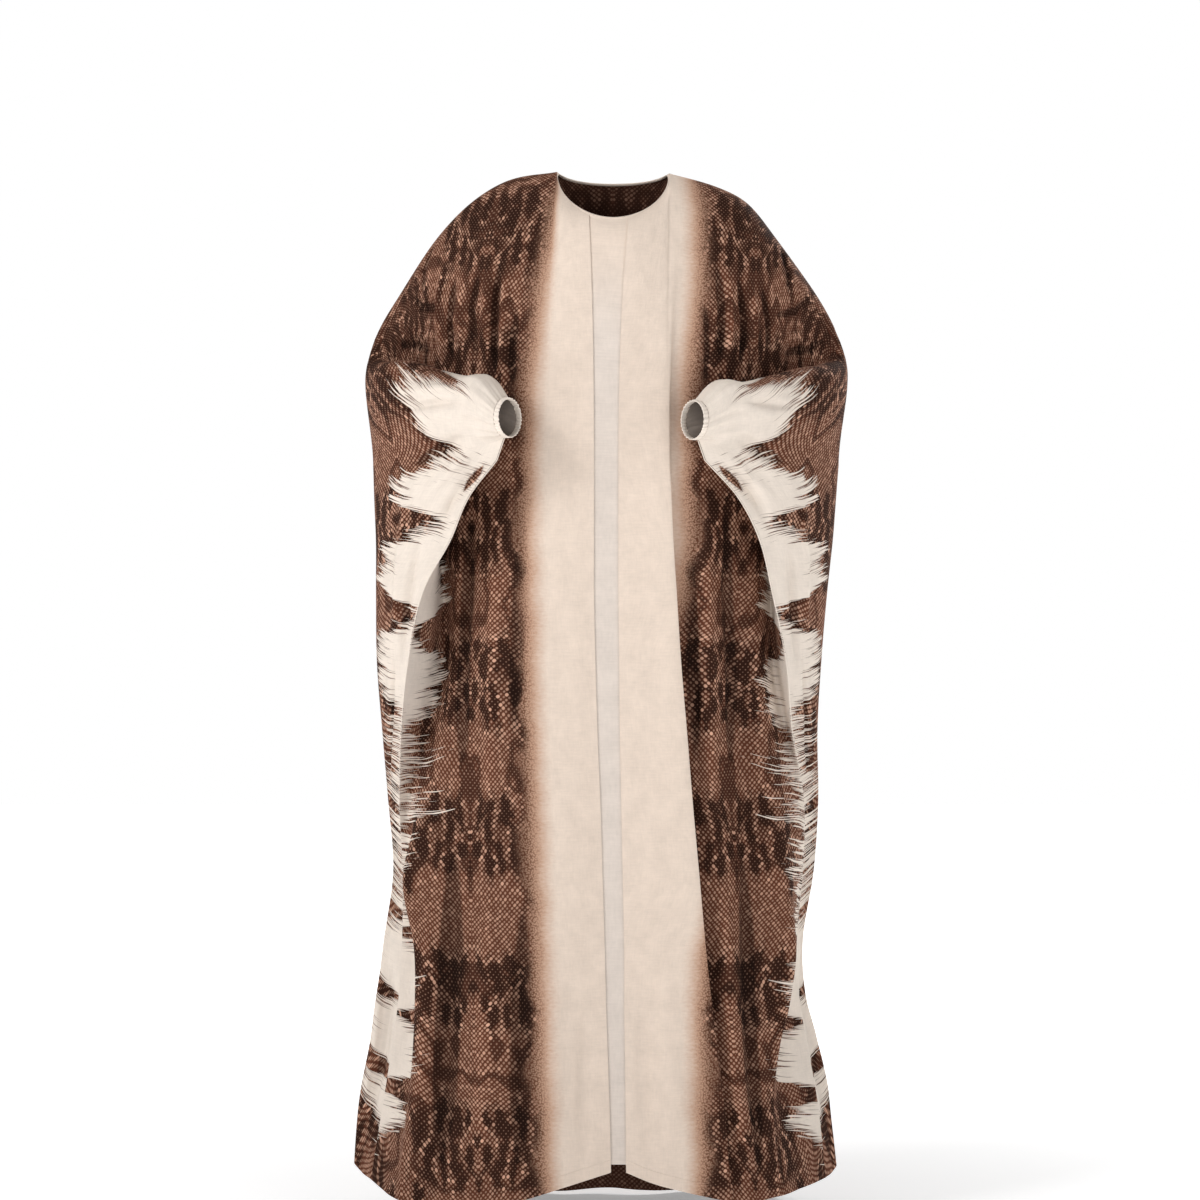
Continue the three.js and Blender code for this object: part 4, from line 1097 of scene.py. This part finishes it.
def make_casing(gown, name, material, sizes):
    """The elastic casing of one cuff, with small uneven ruffles."""
    count = 220
    turn = np.arange(count) / count * 2 * math.pi
    top = through(gown.overarm, ARM_CELLS)[0] * [gown.side, 1, 1]
    centre = top - [0, 0, WRIST_RADIUS]
    facing = np.array([math.sin(WRIST_FACING) * gown.side, math.cos(WRIST_FACING), 0])
    normal = facing * np.sin(turn)[:, None] + [0, 0, 1] * np.cos(turn)[:, None]
    onward = np.tile([-math.cos(WRIST_FACING) * gown.side, math.sin(WRIST_FACING), 0], (count, 1))
    uneven = 0.3 * np.sin(3 * turn + 0.6) + 0.2 * np.sin(7 * turn + 2.1)
    phase = CASING_RUFFLES * turn + 5.0 * uneven
    ripple = 0.55 * np.sin(phase) * (1 + 1.2 * uneven)
    points = centre + normal * WRIST_RADIUS
    rings = band_rings(points, onward, normal, CASING_WIDTH, sizes.cloth_thickness / MM, 0.35, ripple)
    lip = 0.3 * np.sin(phase + 0.9) * (1 + uneven)
    rings += onward[:, None] * lip[:, None, None]
    obj = tube_on(name, rings, CASING_GIRTH, turn * WRIST_RADIUS)
    obj.data.materials.append(material)
    return obj


# ---- the user's sizes and colours ----


def srgb(red, green, blue):
    """A colour given in 0 to 255 as the linear numbers that a socket takes."""
    return tuple(
        value / 12.92 if value <= 0.04045 else ((value + 0.055) / 1.055) ** 2.4
        for value in (red / 255, green / 255, blue / 255)
    )


def length(name, description, default):
    return bpy.props.FloatProperty(
        name=name, description=description, default=default, min=0.0, unit="LENGTH", subtype="DISTANCE",
        precision=4,
    )


def colour(name, description, *value):
    return bpy.props.FloatVectorProperty(
        name=name, description=description, default=srgb(*value), min=0.0, max=1.0, size=3, subtype="COLOR"
    )


class GownSizes(bpy.types.PropertyGroup):
    """Sizes of the gown's cloth, print and seams"""

    cloth_thickness: length("Cloth thickness", "Thickness of the linen", 0.0012)
    thread_pitch: length("Thread pitch", "Distance between two threads of the weave", 0.0011)
    hem_depth: length("Hem depth", "Height of the turned hem", 0.018)
    plain_half_width: length("Plain middle", "Width of the plain cloth beside the opening", 0.087)
    print_axis: length("Print axis", "From the opening to the axis that the print is mirrored about", 0.190)
    print_repeat: length("Print repeat", "Height after which the blotches come back", 0.215)
    print_column: length("Print column", "Distance between two columns of the repeat", 0.240)
    scale_pitch: length("Scale pitch", "Width of one printed scale", 0.0068)
    border_width: length("Border width", "Furthest reach of the pale border from the outer edge", 0.165)


class GownColours(bpy.types.PropertyGroup):
    """Colours of the gown's cloth and print"""

    linen_colour: colour("Plain linen", "The middle of the fronts and the neck binding", 224, 207, 192)
    strip_colour: colour("Strip linen", "The inset strip", 217, 205, 195)
    cuff_colour: colour("Cuff linen", "The elastic casings", 233, 221, 209)
    border_colour: colour("Border", "The pale border along the outer edges", 226, 214, 202)
    stroke_colour: colour("Brush strokes", "Thin strokes at the border's feathered side", 104, 76, 64)
    tan_colour: colour("Tan", "The first shade that the plain middle fades into", 190, 152, 128)
    soft_colour: colour("Soft brown", "The brown that the plain middle fades into", 112, 74, 56)
    scale_colour: colour("Scales", "The light scales of the print", 182, 142, 120)
    brown_colour: colour("Brown ground", "Between the scales of the print", 80, 46, 33)
    dark_colour: colour("Dark ground", "The blotches of the print", 50, 29, 21)
    # partly the wrong side's own duller print colour, partly painted shade of the gown's inside
    inside_print_and_shade_colour: colour("Wrong side", "What the wrong side of the print is toned towards", 62, 38, 29)


class GownOperator:
    """What the gown's operators share"""

    bl_options = {"REGISTER", "UNDO"}

    def given(self, context):
        return context.scene.gown_colours, context.scene.gown_sizes

    def stand_for(self, obj, node, slot):
        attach(obj, "root")
        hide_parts(node)


class GOWN_OT_fronts(GownOperator, bpy.types.Operator):
    """Make the two fronts, each cut in one with the front of its sleeve"""

    bl_idname = "gown.fronts"
    bl_label = "Fronts"

    def execute(self, context):
        look, sizes = self.given(context)
        for gown, side, creases in ((RIGHT, "right", FRONT_RIGHT_CREASES), (LEFT, "left", FRONT_LEFT_CREASES)):
            front = make_front(gown, f"gown_front_{side}", creases, look, sizes)
            self.stand_for(front, f"front_{side}", "printed_cloth")
        return {"FINISHED"}


class GOWN_OT_back(GownOperator, bpy.types.Operator):
    """Make the back, cut in one from cuff to cuff"""

    bl_idname = "gown.back"
    bl_label = "Back"

    def execute(self, context):
        look, sizes = self.given(context)
        back = make_back(look, sizes)
        self.stand_for(back, "back", "printed_cloth")
        return {"FINISHED"}


class GOWN_OT_centre_strip(GownOperator, bpy.types.Operator):
    """Make the paler inset strip behind the free front edges"""

    bl_idname = "gown.centre_strip"
    bl_label = "Centre strip"

    def execute(self, context):
        strip = make_strip(*self.given(context))
        self.stand_for(strip, "centre_strip", "strip_cloth")
        return {"FINISHED"}


class GOWN_OT_neck_binding(GownOperator, bpy.types.Operator):
    """Make the narrow bound edge round the neck"""

    bl_idname = "gown.neck_binding"
    bl_label = "Neck binding"

    def execute(self, context):
        binding, around = make_binding(*self.given(context))
        self.stand_for(binding, "neck_binding", "binding_cloth")
        return {"FINISHED"}


class GOWN_OT_cuff_casings(GownOperator, bpy.types.Operator):
    """Make the elastic casing of each cuff"""

    bl_idname = "gown.cuff_casings"
    bl_label = "Cuff casings"

    def execute(self, context):
        look, sizes = self.given(context)
        material = plain_cloth("Cuff linen", look.cuff_colour, sizes)
        for gown, side in ((RIGHT, "right"), (LEFT, "left")):
            casing = make_casing(gown, f"gown_cuff_casing_{side}", material, sizes)
            self.stand_for(casing, f"cuff_casing_{side}", "cuff_cloth")
        return {"FINISHED"}


class GOWN_OT_stage(GownOperator, bpy.types.Operator):
    """Make the pale floor, the soft lights and the camera"""

    bl_idname = "gown.stage"
    bl_label = "Stage"

    FLOOR = -1.492
    LIGHTS = (
        # name, place, size, watts
        ("Key light", (-3.3, -2.4, 1.7), 1.5, 92.0),
        ("Fill light", (3.2, -3.2, 0.6), 2.4, 24.0),
        ("Top light", (0.0, -0.2, 3.2), 2.4, 30.0),
        ("Back light", (2.6, 3.0, 1.9), 1.5, 100.0),
    )

    def execute(self, context):
        self.floor()
        for lamp in self.LIGHTS:
            self.light(*lamp)
        self.camera(context)
        world = context.scene.world or bpy.data.worlds.new("World")
        context.scene.world = world
        world.use_nodes = True
        self.backdrop(Nodes(world.node_tree, "Background"))
        context.scene.view_settings.view_transform = "Standard"
        return {"FINISHED"}

    def floor(self):
        """A wide pale floor that glows softly away from the gown, so that it ends in the backdrop unseen."""
        deselect()
        bpy.ops.mesh.primitive_grid_add(x_subdivisions=96, y_subdivisions=96, size=2)
        obj = bpy.context.active_object
        obj.name = obj.data.name = "floor"
        places = np.empty(len(obj.data.vertices) * 3, np.float32)
        obj.data.vertices.foreach_get("co", places)
        places = places.reshape(-1, 3).astype(float) * 9.0
        write_points(obj, np.column_stack([places[:, :2], np.full(len(places), self.FLOOR)]))
        finish = Finish("Studio floor", 0.9, 0.0)
        spot = finish.add("ShaderNodeTexCoord", None, None, 3)
        away = finish.add("ShaderNodeVectorMath", {"operation": "LENGTH"}, {0: spot}, 1).step(1.2, 3.0)
        glow = finish.mix(away, (0.27, 0.27, 0.27), (1.0, 1.0, 1.0))
        finish.feed({"Base Color": (0.92, 0.92, 0.92, 1.0)})
        finish.feed({"Emission Color": glow, "Emission Strength": 0.95})
        obj.data.materials.append(finish.material)

    def backdrop(self, sky):
        """White all round at the height of the eye, and dimmer overhead."""
        height = sky.part(sky.add("ShaderNodeTexCoord"), 2)
        levels = {"Value": height, "From Min": 0.19, "From Max": 0.34, "To Min": 1.0, "To Max": 0.10}
        strength = sky.add("ShaderNodeMapRange", {"interpolation_type": "SMOOTHSTEP"}, levels)
        sky.feed({"Color": (1.0, 1.0, 1.0, 1.0), "Strength": strength})

    def light(self, name, place, size, watts):
        deselect()
        bpy.ops.object.light_add(type="AREA", location=place)
        lamp = bpy.context.active_object
        lamp.name = name
        lamp.data.energy, lamp.data.size = watts, size
        x, y, z = np.array([0.0, 0.0, -0.7]) - place
        lamp.rotation_euler = math.atan2(math.hypot(x, y), -z), 0.0, math.atan2(y, x) - math.pi / 2

    def camera(self, context):
        bpy.ops.object.camera_add(location=(-0.0186, -4.5, -0.612), rotation=(math.pi / 2, 0.0, 0.0))
        camera = bpy.context.active_object
        camera.data.lens, camera.data.sensor_width = 94.4, 36.0
        context.scene.camera = camera


class GOWN_PT_panel(bpy.types.Panel):
    """The gown's sizes, colours and pieces"""

    bl_idname = "GOWN_PT_panel"
    bl_label = "Batwing Gown"
    bl_space_type = "VIEW_3D"
    bl_region_type = "UI"
    bl_category = "Gown"

    def draw(self, context):
        for group in (context.scene.gown_sizes, context.scene.gown_colours):
            column = self.layout.column()
            for name in group.__annotations__:
                column.prop(group, name)
        for operator in PIECES:
            self.layout.operator(operator.bl_idname)


PIECES = (
    GOWN_OT_fronts, GOWN_OT_back, GOWN_OT_centre_strip, GOWN_OT_neck_binding, GOWN_OT_cuff_casings,
    GOWN_OT_stage,
)
CLASSES = (GownSizes, GownColours, *PIECES, GOWN_PT_panel)


def register():
    for made in CLASSES:
        bpy.utils.register_class(made)
    bpy.types.Scene.gown_sizes = bpy.props.PointerProperty(type=GownSizes)
    bpy.types.Scene.gown_colours = bpy.props.PointerProperty(type=GownColours)


def unregister():
    del bpy.types.Scene.gown_colours
    del bpy.types.Scene.gown_sizes
    for made in reversed(CLASSES):
        bpy.utils.unregister_class(made)


def main():
    register()
    bpy.ops.gown.fronts()
    bpy.ops.gown.back()
    bpy.ops.gown.centre_strip()
    bpy.ops.gown.neck_binding()
    bpy.ops.gown.cuff_casings()
    bpy.ops.gown.stage()


if __name__ == "__main__":
    main()
